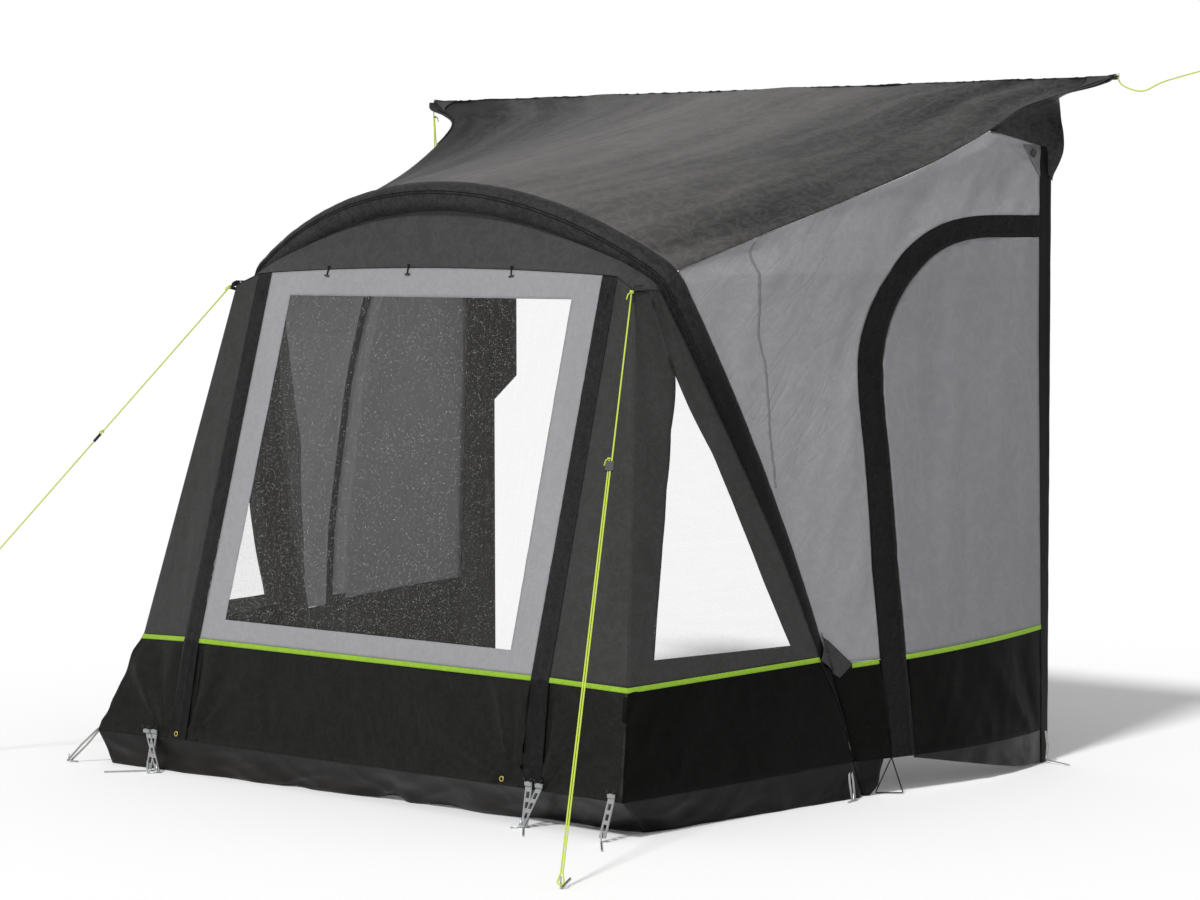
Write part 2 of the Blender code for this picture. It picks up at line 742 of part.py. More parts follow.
def make_wall(side, word, clearance):
    edge = [(depth, level) for _, depth, level in roof_edge()]
    rear = wall["strip"]
    seam_drop = 2 * seam_gap
    leg = [(row[1], row[2]) for row in shoulder_edge() if row[2] < edge[-1][1]]
    band = band_line()
    low_band = depth_on(band[:3], side_stripe(band_edge_depths[1]) + stripe_width / 2)
    foot = side_stripe(low_band) + stripe_width / 2
    leg_above = [p for p in leg if p[1] > foot]
    roof_side = [(d, z - seam_drop) for d, z in reversed(edge[gusset_point:])]
    seam_rear = blend(edge[gusset_point][1], gusset_foot(), 1 - rear / edge[gusset_point][0])
    over_band = [p for p in band_line(seam_drop) if p[1] > foot]
    top = door_top() + door["band_top_width"]
    outline = [(beam_depth(foot), foot), *leg_above, *roof_side, (rear, seam_rear),
               (rear, top + seam_drop), *reversed(over_band), (low_band + seam_drop, foot)]
    cloth = panel("wall_" + word, "grey_cloth", side_skin, outline,
                  creases=cloth_columns, rows=cloth_rows, side=side)
    cut(cloth, clearance, solver="MANIFOLD")

    band_foot = door_edge_levels[0]
    panel("door_band_" + word, "sleeve_cloth", side_skin,
          [(rear, door_top()), *reversed(door_line()), *band, (rear, top)],
          rows=band_rows, side=side)

    under = [(beam_depth(0), 0.0), (beam_depth(band_foot), band_foot), (beam_depth(foot), foot),
             (low_band, foot), (band_edge_depths[1], door_edge_levels[1]),
             (band_edge_depths[0], band_foot), (door_edge_depths[0], band_foot),
             (door_edge_depths[0], 0.0)]
    under_skirt = panel("skirt_wall_" + word, "skirt_cloth", side_skin, under, side=side)
    cut(under_skirt, clearance)

    upper, mid = edge[gusset_upper_point], edge[gusset_point]
    panel("rear_gusset_" + word, "roof_cloth", side_skin,
          [(mid[0], mid[1] - seam_drop), (upper[0], upper[1] - 2 * fabric),
           (0.0, rail["height"] - wall["gusset_top_drop"]), (0.0, gusset_foot()),
           (rear, seam_rear)],
          creases=(rear, *cloth_columns[:2]), side=side)


def make_door(side, word):
    """The door zips open along its front and top and folds back about its rear edge."""
    gap = door["clearance"]
    rear = wall["strip"]
    line = door_line(gap)
    front = door_edge_depths[1]
    creases = door_creases

    def along(level):
        return depth_on(line[:3], level)

    def strip(low, high):
        """Corners of a strip across the door between two levels at the rear and front."""
        return [(rear, low(rear)), *[(d, low(d)) for d in creases], (along(low(front)), low(front)),
                (along(high(front)), high(front)), *[(d, high(d)) for d in reversed(creases)],
                (rear, high(rear))]

    def above(depth):
        return side_stripe(depth) + stripe_width / 2

    def below(depth):
        return side_stripe(depth) - stripe_width / 2

    def at_hem(depth):
        return hem_height

    def at_ground(depth):
        return door["ground_clearance"]

    upper = [p for p in line if p[1] > above(front)]
    sheet = [(rear, above(rear)), *[(d, above(d)) for d in creases],
             (along(above(front)), above(front)), *upper, (rear, upper[-1][1])]
    panel("door_" + word, "grey_cloth", side_skin, sheet, creases=creases,
          rows=door_rows, side=side)
    panel("door_stripe_" + word, "green_binding", side_skin, strip(below, above),
          creases=creases, side=side)
    panel("door_skirt_" + word, "skirt_cloth", side_skin, strip(at_hem, below),
          creases=creases, side=side)
    panel("door_flap_" + word, "flap_pvc", side_skin, strip(at_ground, at_hem),
          creases=creases, side=side)


def make_rear_pad(side, word):
    """Foam pad that presses on the caravan, with the strip that the door folds back to."""
    depth = pad["thickness"]
    outer = wall["rear_half"]
    top = gusset_foot() - pad["top_drop"]
    outline = [(outer, pad["foot"]), (outer, top), (outer - pad["width"], top),
               (outer - pad["width"], pad["neck_top"]),
               (outer - pad["neck_width"], pad["neck_foot"]),
               (outer - pad["neck_width"], pad["foot"])]
    bm = bmesh.new()
    face = bm.faces.new([bm.verts.new((side * x, 0, z)) for x, z in outline])
    raised = bmesh.ops.extrude_face_region(bm, geom=[face])
    for item in raised["geom"]:
        if isinstance(item, bmesh.types.BMVert):
            item.co.y -= depth
    bmesh.ops.recalc_face_normals(bm, faces=bm.faces[:])
    column = from_bmesh("rear_pad_" + word, bm, "pad_cloth")
    strip = panel("pad_strip_" + word, "pad_cloth", side_skin,
                  [(0.0, pad["foot"]), (wall["strip"], pad["foot"]), (wall["strip"], top),
                   (0.0, top)], rows=cloth_rows[:4], side=side)
    join(column, as_cutter(pieces.pop(strip.name)))


# Zip sliders, ladders, pegs and lines

def make_slider(side, word):
    """Slider and pull tab of a front zip, on the outside of its band."""
    z = slider["level"]
    middle = (front_skin(1, z) + front_skin(2, z)) / 2
    below = (front_skin(1, z - slider["length"]) + front_skin(2, z - slider["length"])) / 2
    down = Vector((0, below.y - middle.y, below.z - middle.z)).normalized()
    out = Vector((0, down.z, -down.y))
    place = Matrix((down.cross(out), down, out)).transposed().to_4x4()
    middle.x *= side
    place.translation = middle + out * (seam_gap + slider["height"] / 2)
    bm = box_bmesh((slider["width"], slider["length"], slider["height"]), place)
    body = from_bmesh("zip_slider_" + word, bm, "zip_metal")
    bevel = body.modifiers.new("edges", "BEVEL")
    bevel.width = slider["height"] / 4
    bevel.segments = 2
    tab_place = place.copy()
    hang = (slider["length"] + slider["tab_length"]) * slider["tab_share"]
    rise = seam_gap + slider["height"] * slider["tab_rise_share"]
    tab_place.translation = middle + down * hang + out * rise
    tab = box_cutter("zip_tab_" + word, (slider["tab_width"], slider["tab_length"],
                                         slider["tab_height"]), tab_place)
    join(body, tab)


def make_ladder(name, x, s):
    """Rubber ladder that hangs in front of the hem and is held down by a peg."""
    z = ladder["top"]
    face = front_skin(s, z)
    lower = front_skin(s, hem_height)
    down = Vector((0, lower.y - face.y, lower.z - face.z)).normalized()
    out = Vector((0, down.z, -down.y))
    place = Matrix((down.cross(out), down, out)).transposed().to_4x4()
    origin = Vector((x, face.y, z)) + out * (ladder["standoff"] + ladder["thickness"] / 2)
    place.translation = origin + down * ladder["length"] / 2
    bm = box_bmesh((ladder["width"], ladder["length"], ladder["thickness"]), place)
    body = from_bmesh(name, bm, "ladder_rubber")
    pitch_length = ladder["length"] / (ladder["openings"] + 1)
    for i in range(ladder["openings"]):
        hole = place.copy()
        hole.translation = origin + down * pitch_length * (i + 1)
        cut(body, box_cutter(name + "_opening_" + str(i),
                             (ladder["opening_width"], ladder["opening_height"], overrun), hole))
    return origin + down * ladder["length"]


def make_held_ladder(word, x):
    """A ladder and the peg that lies against its foot with its arm turned up."""
    hem_half = band_halves[1] if abs(x) > band_halves[1] else panel_halves[1]
    far_half = corner_halves[1] if abs(x) > band_halves[1] else band_halves[1]
    s = (2 if abs(x) > band_halves[1] else 1) + (abs(x) - hem_half) / (far_half - hem_half)
    foot = make_ladder("ladder_" + word, x, s)
    lean = 1 if x > 0 else -1
    ahead = ladder["thickness"] / 2 + seam_gap + peg["radius"] * 1.05
    heading = (lean * peg_heading_shares[0], -peg_heading_shares[1])
    make_peg("peg_" + word, (x, foot.y - ahead), heading)


def make_peg(name, tip, heading):
    """Steel peg lying on the ground with its arm turned up at the tip."""
    r = peg["radius"]
    run = Vector((heading[0], heading[1], 0)).normalized()
    start = Vector((tip[0], tip[1], r))
    points = [start + Vector((0, 0, peg["arm"]))]
    bend = peg["bend"]
    for i in range(5):
        a = pi / 2 * i / 4
        points.append(start + run * bend * (1 - cos(a)) + Vector((0, 0, bend * (1 - sin(a)))))
    points.append(start + run * peg["shaft"])
    return tube(name, "peg_steel", points, r)


def smooth_line(points, count):
    """A smooth curve through the points, read at an even spacing."""
    dense = []
    ends = [points[0] * 2 - points[1], *points, points[-1] * 2 - points[-2]]
    for a, b, c, d in zip(ends, ends[1:], ends[2:], ends[3:]):
        for i in range(12):
            t = i / 12
            dense.append(0.5 * ((2 * b) + (c - a) * t + (2 * a - 5 * b + 4 * c - d) * t * t
                                + (3 * b - a - 3 * c + d) * t ** 3))
    dense.append(points[-1])
    run = [0.0]
    for p, q in zip(dense, dense[1:]):
        run.append(run[-1] + (q - p).length)
    out = []
    for i in range(count + 1):
        goal = run[-1] * i / count
        k = 0
        while k < len(run) - 2 and run[k + 1] < goal:
            k += 1
        t = (goal - run[k]) / (run[k + 1] - run[k])
        out.append(dense[k].lerp(dense[k + 1], t))
    return out


def make_guy_tab(side, word, start, down):
    """Webbing tab from the sewn front corner out to the line's knot."""
    corner = front_skin(3 * side, guy_top[2])
    edge = (front_skin(3 * side, guy_top[2] - guy["tab_width"]) - corner).normalized()
    corner += edge * (start - corner).dot(edge)
    out = start - corner
    heading = out.normalized()
    knot = guy["radius"] * (1 - heading.dot(down) ** 2) ** 0.5
    length = out.length - knot - 2 * seam_gap
    place = Matrix((edge.cross(heading), edge, heading)).transposed().to_4x4()
    place.translation = corner + heading * (seam_gap + length / 2)
    bm = box_bmesh((guy["tab_thickness"], guy["tab_width"], length), place)
    from_bmesh("guy_tab_" + word, bm, "sleeve_cloth")


def make_guy(side, word):
    """Line from the corner to a peg: single to the runner, then doubled round the peg."""
    top = Vector((side * guy_top[0], -guy_top[1], guy_top[2]))
    foot = Vector((side * guy_feet[word][0], -guy_feet[word][1], guy["foot_level"]))
    down = (foot - top).normalized()
    across = down.cross(Vector((0, 0, 1))).normalized() * side
    reach = (foot - top).length
    gap = guy["strand_spacing"]
    turn = guy["loop_radius"]
    runner_at = reach * guy["runner_share"]
    flare = guy["flare"]
    go_down = [top + down * guy["standoff"], top + down * runner_at,
               top + down * (reach - flare)]
    make_guy_tab(side, word, go_down[0], down)
    centre = foot + across * gap / 2 - down * turn
    loop = []
    for i in range(9):
        a = pi * i / 8
        loop.append(centre - across * cos(a) * turn + down * sin(a) * turn)
    go_up = [top + down * (reach - flare) + across * gap,
             top + down * (runner_at - runner["length"] / 2 - guy["tail"]) + across * gap]
    tube("guy_line_" + word, "line_cord", [*go_down, *loop, *go_up], guy["radius"], resolution=1)
    heading = Vector((-down.x, -down.y, 0)).normalized()
    arm = foot + across * gap / 2 + heading * (guy["radius"] + seam_gap + peg["radius"])
    make_peg("guy_peg_" + word, arm, heading)

    place = Matrix((across, down.cross(across), down)).transposed().to_4x4()
    place.translation = top + down * runner_at + across * gap / 2
    bm = box_bmesh((runner["width"], runner["thickness"], runner["length"]), place)
    body = from_bmesh("guy_runner_" + word, bm, "runner_plastic")
    for i, shift in enumerate((0, gap)):
        start = top + down * (runner_at - runner["length"]) + across * shift
        cut(body, rod("runner_bore_%s_%d" % (word, i), None, start, down,
                      guy["radius"] + runner["bore_clearance"], 2 * runner["length"], sides=16))


def make_rail_cords():
    """Pull cords at both ends of the bead."""
    axis = Vector((0, -bead_depth(), rail["height"] - fabric / 2))
    for word, side, drops in (("right", 1, right_cord_drops), ("left", -1, left_cord_drops)):
        start = axis + Vector((side * (rail["half_length"] + seam_gap), 0, 0))
        route = [start + Vector((side * x, -y, z)) for x, y, z in drops]
        cord = [start, *smooth_line(route, 28)]
        tube("rail_cord_" + word, "line_cord", cord, guy["radius"], resolution=1)


def stand_on_origin():
    """Moves the pitch so that the origin is below the middle of all but the loose lines."""
    graph = bpy.context.evaluated_depsgraph_get()
    graph.update()
    depths = []
    for name, obj in pieces.items():
        if not name.startswith(line_pieces):
            finished = obj.evaluated_get(graph)
            depths += [vert.co.y for vert in finished.to_mesh().vertices]
            finished.to_mesh_clear()
    pitch.location.y = -(min(depths) + max(depths)) / 2
    print("caravan's wall at y =", pitch.location.y)


def make_materials():
    material("roof_cloth", (0.085, 0.082, 0.080), 0.75)
    material("sleeve_cloth", (0.018, 0.018, 0.019), 0.7)
    material("bladder_film", (0.55, 0.57, 0.60), 0.35)
    material("dark_cloth", (0.060, 0.060, 0.061), 0.75)
    material("grey_cloth", (0.33, 0.33, 0.345), 0.8)
    material("clear_film", (0.75, 0.78, 0.80), 0.1, alpha=0.35)
    material("green_binding", (0.25, 0.55, 0.03), 0.6)
    material("skirt_cloth", (0.022, 0.022, 0.024), 0.7)
    material("flap_pvc", (0.012, 0.012, 0.012), 0.25)
    material("pad_cloth", (0.03, 0.03, 0.032), 0.85)
    material("bead_pvc", (0.45, 0.45, 0.44), 0.5)
    material("valve_plastic", (0.05, 0.05, 0.055), 0.4)
    material("zip_metal", (0.10, 0.10, 0.10), 0.4, 0.6)
    material("ladder_rubber", (0.45, 0.46, 0.45), 0.6)
    material("peg_steel", (0.60, 0.60, 0.60), 0.35, 0.9)
    material("line_cord", (0.60, 0.78, 0.08), 0.7)
    material("runner_plastic", (0.03, 0.03, 0.03), 0.5)


def main():
    global parts, cutters, pitch
    for obj in list(bpy.data.objects):
        bpy.data.objects.remove(obj)
    parts = bpy.data.collections.new("caravan_awning")
    cutters = bpy.data.collections.new("cutters")
    bpy.context.scene.collection.children.link(parts)
    bpy.context.scene.collection.children.link(cutters)
    pitch = bpy.data.objects.new("pitch", None)
    pitch.location = (0, front_reach / 2, 0)
    parts.objects.link(pitch)
    make_materials()
    clearance = make_beam()
    make_valve()
    make_roof(clearance)
    make_valance(clearance)
    make_front()
    make_mud_flap(clearance)
    for side, word in ((1, "right"), (-1, "left")):
        make_side_of_front(side, word, clearance)
        make_wall(side, word, clearance)
        make_door(side, word)
        make_rear_pad(side, word)
        make_slider(side, word)
        make_guy(side, word)
    make_rail_cords()
    for word, x in ladder_places.items():
        make_held_ladder(word, x)
    stand_on_origin()


main()
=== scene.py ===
# Looks of an inflatable porch awning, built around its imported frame.
# X runs along the wall that the awning stands against, -Y points away from it, +Z is up.
import bpy
import bmesh
import bisect
import json
import math
from mathutils import Matrix, Vector, kdtree, noise


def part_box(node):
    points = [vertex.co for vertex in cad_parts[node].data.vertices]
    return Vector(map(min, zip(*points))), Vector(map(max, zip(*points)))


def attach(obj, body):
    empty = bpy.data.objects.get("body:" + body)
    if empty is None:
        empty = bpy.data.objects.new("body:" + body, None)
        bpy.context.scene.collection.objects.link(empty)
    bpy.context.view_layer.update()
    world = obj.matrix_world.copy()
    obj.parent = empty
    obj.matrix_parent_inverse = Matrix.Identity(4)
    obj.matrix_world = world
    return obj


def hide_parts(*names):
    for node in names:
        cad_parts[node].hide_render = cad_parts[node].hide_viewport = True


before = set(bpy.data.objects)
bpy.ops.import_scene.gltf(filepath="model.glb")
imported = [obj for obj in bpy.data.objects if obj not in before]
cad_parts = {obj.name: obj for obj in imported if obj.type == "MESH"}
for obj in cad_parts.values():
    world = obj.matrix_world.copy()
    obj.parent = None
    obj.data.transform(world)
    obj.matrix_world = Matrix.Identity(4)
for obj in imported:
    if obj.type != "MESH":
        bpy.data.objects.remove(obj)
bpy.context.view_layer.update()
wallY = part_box("rear_pad_right")[1][1]     # plane of the wall behind the awning
scene = bpy.context.scene
hands = ((1, "right"), (-1, "left"))       # side of the part, and the word for it in names


def place(x, depth, z):
    return Vector((x, wallY - depth, z))


def blend(a, b, t):
    return a + (b - a) * t


def clamp(x, low=0.0, high=1.0):
    return max(low, min(high, x))


def ease(t):
    t = clamp(t)
    return t * t * (3 - 2 * t)


def bell(x, width):
    return math.exp(-(x / width) ** 2)


def reading(x, stations, values):
    # straight-line reading over rising stations, carried on past both ends
    k = max(0, min(bisect.bisect_right(stations, x) - 1, len(stations) - 2))
    t = (x - stations[k]) / (stations[k + 1] - stations[k])
    return blend(values[k], values[k + 1], t)


def steps(count, low=0.0, high=1.0):
    return [blend(low, high, i / count) for i in range(count + 1)]


def runOf(points):
    # the length walked along a path at each of its points
    run = [0.0]
    for p, q in zip(points, points[1:]):
        run.append(run[-1] + (q - p).length)
    return run


def pathLength(points):
    return runOf(points)[-1]


def mirrored(point, side):
    return Vector((side * point.x, point.y, point.z))


def zones(*counts):
    # parameters 0..1..2.. with a count of steps in each zone
    out = [0.0]
    for k, count in enumerate(counts):
        out += [k + (i + 1) / count for i in range(count)]
    return out


# Camera at the photograph's place
cameraSpec = {"lens": 100.16, "sensor": 36.0, "place": (7.739, -9.932, 1.853),
              "yaw": 40.476, "pitch": -3.656, "roll": -0.097, "far": 200.0}


def makeCamera():
    data = bpy.data.cameras.new("viewCamera")
    data.lens = cameraSpec["lens"]
    data.sensor_width = cameraSpec["sensor"]
    data.clip_end = cameraSpec["far"]
    cam = bpy.data.objects.new("viewCamera", data)
    scene.collection.objects.link(cam)
    x, y, z = cameraSpec["place"]
    turn = (Matrix.Rotation(math.radians(cameraSpec["yaw"]), 4, "Z")
            @ Matrix.Rotation(math.radians(90 + cameraSpec["pitch"]), 4, "X")
            @ Matrix.Rotation(math.radians(cameraSpec["roll"]), 4, "Z"))
    cam.matrix_world = Matrix.Translation((x, y + wallY, z)) @ turn
    scene.camera = cam
    print("camera placed")


makeCamera()


# Shader maths: a Wire is a socket, and expressions on Wires add Math nodes
class Wire:
    def __init__(self, finish, socket):
        self.finish = finish
        self.socket = socket

    def maths(self, operation, other, swapped=False):
        first, second = (other, self) if swapped else (self, other)
        return self.finish.node("Math", {"operation": operation}, {0: first, 1: second})

    def __add__(self, other):
        return self.maths("ADD", other)

    __radd__ = __add__

    def __sub__(self, other):
        return self.maths("SUBTRACT", other)

    def __rsub__(self, other):
        return self.maths("SUBTRACT", other, swapped=True)

    def __mul__(self, other):
        return self.maths("MULTIPLY", other)

    __rmul__ = __mul__

    def __pow__(self, other):
        return self.maths("POWER", other)

    def __abs__(self):
        return self.maths("ABSOLUTE", 0)

    def above(self, level, softness):
        # 0 below the level, 1 above it, with a soft step between
        return self.finish.node("MapRange", {"interpolation_type": "SMOOTHSTEP"},
                                {"Value": self, "From Min": level - softness,
                                 "From Max": level + softness})


class NodeTree:
    # the nodes of one material, or of the world
    def __init__(self, owner):
        owner.use_nodes = True
        self.tree = owner.node_tree
        self.tree.nodes.clear()

    def node(self, kind, settings=None, sockets=None, output=0):
        made = self.tree.nodes.new("ShaderNode" + kind)
        for key, value in (settings or {}).items():
            setattr(made, key, value)
        for key, value in (sockets or {}).items():
            self.join(value, made.inputs[key])
        return Wire(self, made.outputs[output]) if made.outputs else made

    def join(self, value, socket):
        if isinstance(value, Wire):
            self.tree.links.new(value.socket, socket)
        else:
            socket.default_value = value


class Finish(NodeTree):
    def __init__(self, name):
        self.material = bpy.data.materials.new(name)
        super().__init__(self.material)
        self.shader = self.tree.nodes.new("ShaderNodeBsdfPrincipled")
        self.node("OutputMaterial", None, {"Surface": Wire(self, self.shader.outputs[0])})
        finishes[name] = self.material

    def shade(self, **sockets):
        # Base_Color=... sets or links the shader's own socket Base Color
        for key, value in sockets.items():
            self.join(value, self.shader.inputs[key.replace("_", " ")])
        return self

    def place(self):
        return self.node("TexCoord", output=3)

    def cloth(self):
        return self.node("UVMap", {"uv_map": "cloth"})

    def stretched(self, at, scale):
        return self.node("Mapping", None, {"Vector": at, "Scale": scale})

    def noise(self, at, scale, detail=3.0, roughness=0.55, distortion=0.0):
        return self.node("TexNoise", {"normalize": True},
                         {"Vector": at, "Scale": scale, "Detail": detail,
                          "Roughness": roughness, "Distortion": distortion})

    def ridge(self, at, scale, detail, roughness, distortion):
        # 0 along thin creases, up to 1 between them
        return abs(self.noise(at, scale, detail, roughness, distortion) - 0.5) * 2

    def bands(self, way, at, scale, **more):
        return self.node("TexWave", {"wave_type": "BANDS", "bands_direction": way},
                         {"Vector": at, "Scale": scale, **more})

    def mix(self, factor, a, b):
        return self.node("Mix", {"data_type": "RGBA"}, {0: factor, 6: a, 7: b}, output=2)

    def bump(self, height, strength=1.0):
        # the height is in metres
        normal = self.node("Bump", None, {"Height": height, "Distance": 1.0,
                                          "Strength": strength})
        return self.shade(Normal=normal)


finishes = {}


def tone(hexadecimal, gain=1.0):
    # an sRGB colour as a linear one
    out = []
    for k in (0, 2, 4):
        c = int(hexadecimal[k:k + 2], 16) / 255
        c = c / 12.92 if c <= 0.04045 else ((c + 0.055) / 1.055) ** 2.4
        out.append(min(1.0, c * gain))
    return (*out, 1.0)


weaveSpec = {"warp": 330.0, "weft": 300.0, "blotch": 2.3, "cloud": 11.0, "fineness": 3.1}


def clothFinish(name, colour, light, roughness, crinkle, crinkleScale, mottle=0.10,
                weave=0.00006, paintedSheen=0.0, gleam=0.16, foot=None, drag=None):
    # coated woven cloth: weave, fine crinkles, blotches, and a little wear where it creases
    finish = Finish(name)
    at, flat = finish.place(), finish.cloth()
    blotch = finish.noise(at, weaveSpec["blotch"], 4.0, 0.6)
    cloud = finish.noise(at, weaveSpec["cloud"], 3.0, 0.6, 0.4)
    crease = finish.ridge(at, crinkleScale, 5.0, 0.62, 0.7)
    fine = finish.ridge(at, crinkleScale * weaveSpec["fineness"], 3.0, 0.6, 0.4)
    warp, weft = (finish.bands(way, flat, weaveSpec[key], Distortion=0.3, Detail=1.0)
                  for way, key in (("X", "warp"), ("Y", "weft")))
    threads = warp * weft
    worn = (1 - crease).above(0.93, 0.07)
    shadeOf = blotch * 0.6 + cloud * 0.4 + worn * 0.35 - 0.25
    # painted highlight: long streaks of sheen and a lighter crown in the roof's middle, painted
    # into the colour for the sky's reflection
    if paintedSheen:
        long = finish.noise(finish.stretched(flat, (1.0, 0.16, 1.0)), 5.0, 4.0, 0.6, 0.6)
        crown = finish.node("SeparateXYZ", None, {"Vector": at})
        crownSheen = 1 - abs(crown - 0.15)
        shadeOf = (shadeOf - 0.5) * 0.35 + (long - 0.5) * 0.8 + crownSheen * paintedSheen + 0.25
    base = finish.mix(shadeOf, tone(colour, 1 - mottle), tone(light, 1 + mottle))
    # painted shade on the sleeve: its legs darker than its top, which gets more light; on the zip
    # bands a sharp step to black below the stripe
    if foot:
        level = finish.node("SeparateXYZ", None, {"Vector": at}, output=2)
        base = finish.mix(level.above(foot[1], foot[2]), tone(foot[0]), base)
    finish.shade(Base_Color=base, Roughness=roughness + cloud * 0.12 - 0.06)
    finish.shade(Sheen_Weight=0.1 * gleam, Sheen_Roughness=0.5, Specular_IOR_Level=gleam)
    height = (crease ** 0.7) * crinkle + fine * (crinkle * 0.35) + threads * weave
    if drag:
        # fine creases that run one way over the cloth
        turn, scale, depth = drag
        way = finish.node("Mapping", {"vector_type": "TEXTURE"},
                          {"Vector": flat, "Rotation": (0, 0, math.radians(turn)),
                           "Scale": (1.0, 4.5, 1.0)})
        ridge = finish.ridge(way, scale, 3.0, 0.5, 0.5)
        patch = finish.noise(at, 2.2, 2.0, 0.5).above(0.48, 0.20)
        height = height + (ridge ** 0.6) * patch * depth
    finish.bump(height)


# Each cloth: dark and light tone and roughness, its crinkles, and where it has them a roof's
# painted sheen (painted highlight in long streaks and on its crown), a darker foot (tone, level,
# softness), which on the sleeve is painted shade and on the zip bands a sharp step to black below
# the stripe, and creases one way (degrees, scale, depth)
clothSpec = {
    "roofCloth": dict(colour="1a1a1a", light="6e6c6b", roughness=0.46, crinkle=0.0004,
                      crinkleScale=16.0, paintedSheen=0.42, drag=(6, 9.0, 0.0030)),
    "valanceCloth": dict(colour="393838", light="444343", roughness=0.56, crinkle=0.0006,
                         crinkleScale=18.0, drag=(0, 14.0, 0.0022)),
    # the sleeve's darker foot is painted shade
    "sleeveCloth": dict(colour="1c1b1b", light="3a3838", roughness=0.44, crinkle=0.0034,
                        crinkleScale=24.0, mottle=0.15, gleam=0.13,
                        foot=("0c0b0b", 1.60, 0.35)),
    "bandCloth": dict(colour="151414", light="232222", roughness=0.46, crinkle=0.0030,
                      crinkleScale=30.0, mottle=0.15, foot=("0a0a09", 0.46, 0.004)),
    "doorBandCloth": dict(colour="080707", light="131212", roughness=0.42, crinkle=0.0042,
                          crinkleScale=26.0, mottle=0.15, gleam=0.10),
    "wingCloth": dict(colour="313130", light="3b3a3a", roughness=0.56, crinkle=0.0006,
                      crinkleScale=20.0, drag=(8, 14.0, 0.0026)),
    "borderCloth": dict(colour="8b8b8e", light="949497", roughness=0.62, crinkle=0.0007,
                        crinkleScale=24.0, mottle=0.03, drag=(15, 20.0, 0.0022)),
    "wallCloth": dict(colour="88888b", light="919194", roughness=0.60, crinkle=0.0003,
                      crinkleScale=14.0, mottle=0.03, drag=(48, 15.0, 0.0045)),
    # painted shade: the door is the wall's cloth painted darker, for its deeper angle to the light
    "doorCloth": dict(colour="7a7a7e", light="838386", roughness=0.62, crinkle=0.0003,
                      crinkleScale=14.0, mottle=0.03, drag=(30, 9.0, 0.0022)),
    "seamCloth": dict(colour="6f6f72", light="7c7c7f", roughness=0.62, crinkle=0.0004,
                      crinkleScale=30.0, mottle=0.04),
    "patchCloth": dict(colour="666668", light="747476", roughness=0.62, crinkle=0.0004,
                       crinkleScale=30.0, mottle=0.04),
    # painted light and shade: one black skirt cloth in two copies, darker for the sides and
    # lighter for the front, for how light falls on each
    "skirtCloth": dict(colour="070706", light="0e0e0d", roughness=0.52, crinkle=0.0009,
                       crinkleScale=22.0, mottle=0.12, gleam=0.05, drag=(20, 12.0, 0.0030)),
    "frontSkirtCloth": dict(colour="121211", light="1d1d1b", roughness=0.50, crinkle=0.0009,
                            crinkleScale=22.0, mottle=0.12, gleam=0.12,
                            drag=(20, 12.0, 0.0034)),
    "padCloth": dict(colour="0d0c0c", light="161515", roughness=0.75, crinkle=0.0008,
                     crinkleScale=20.0, mottle=0.12),
    "greenBinding": dict(colour="7fa52c", light="93bb38", roughness=0.60, crinkle=0.0003,
                         crinkleScale=60.0, mottle=0.06, weave=0.00012),
    "webbing": dict(colour="0c0b0b", light="181717", roughness=0.65, crinkle=0.0002,
                    crinkleScale=80.0, mottle=0.1, weave=0.0002),
    "greyStrap": dict(colour="8f8f8d", light="a8a8a4", roughness=0.65, crinkle=0.0002,
                      crinkleScale=80.0, mottle=0.1, weave=0.0002)}
# Each plain finish: tone, roughness, metallic, scale of its grain, relief
plainSpec = {
    "ladderRubber": ("909291", 0.55, 0.0, 220.0, 0.0001),
    "pegSteel": ("b9bcbf", 0.32, 0.9, 160.0, 0.00005),
    "blackPlastic": ("171717", 0.42, 0.0, 300.0, 0.00005),
    "valvePlastic": ("2a2b2d", 0.4, 0.0, 300.0, 0.00005),
    "zipMetal": ("2b2b2b", 0.35, 0.7, 400.0, 0.00004),
    "brass": ("d8bd66", 0.35, 0.9, 300.0, 0.00004),
    "beadPlastic": ("8a8a88", 0.5, 0.0, 120.0, 0.00008),
    "bladderFilm": ("c4c8cc", 0.35, 0.0, 20.0, 0.0004),
    "whitePlastic": ("e6e6e2", 0.45, 0.0, 300.0, 0.00005)}


def makeFinishes():
    for name, spec in clothSpec.items():
        clothFinish(name, **spec)
    for name, spec in plainSpec.items():
        makePlainFinish(name, *spec)
    # painted light and shade: the flap's vinyl in two copies, the lighter and glossier one for the
    # flap's front faces (and the door flaps), the darker one for the flap's sides
    makeFlapFinish("flapVinyl", "080707", "1e1916", 0.20)
    makeFlapFinish("flapVinylShadedSide", "050505", "100e0c", 0.13)
    makeFilmFinish("clearFilm", 0.042)
    makeFilmFinish("bayFilm", 0.045)
    makeCordFinish()
    print("finishes made:", len(finishes))


def makeFlapFinish(name, dark, light, gleam):
    finish = Finish(name)
    at = finish.place()
    broad = finish.noise(at, 6.0, 2.0, 0.5, 0.5)
    crease = finish.ridge(at, 12.0, 3.0, 0.5, 0.6)
    dust = finish.noise(at, 30.0, 4.0, 0.7)
    low = finish.node("SeparateXYZ", None, {"Vector": at}, output=2)
    soiled = (1 - low.above(0.05, 0.05)) * dust
    base = finish.mix(broad * 0.5 + soiled * 0.5, tone(dark), tone(light))
    finish.shade(Base_Color=base, Roughness=broad * 0.20 + 0.24 + soiled * 0.2)
    finish.shade(Specular_IOR_Level=gleam)
    finish.bump((crease ** 0.8) * 0.0010 + broad * 0.004)


# drops on the film: how many to a metre across, their size and how rare they are
filmSpec = {"drops": ((152.0, 0.21, 0.90), (247.0, 0.27, 0.90)), "tall": 0.7, "dropHaze": 0.20}


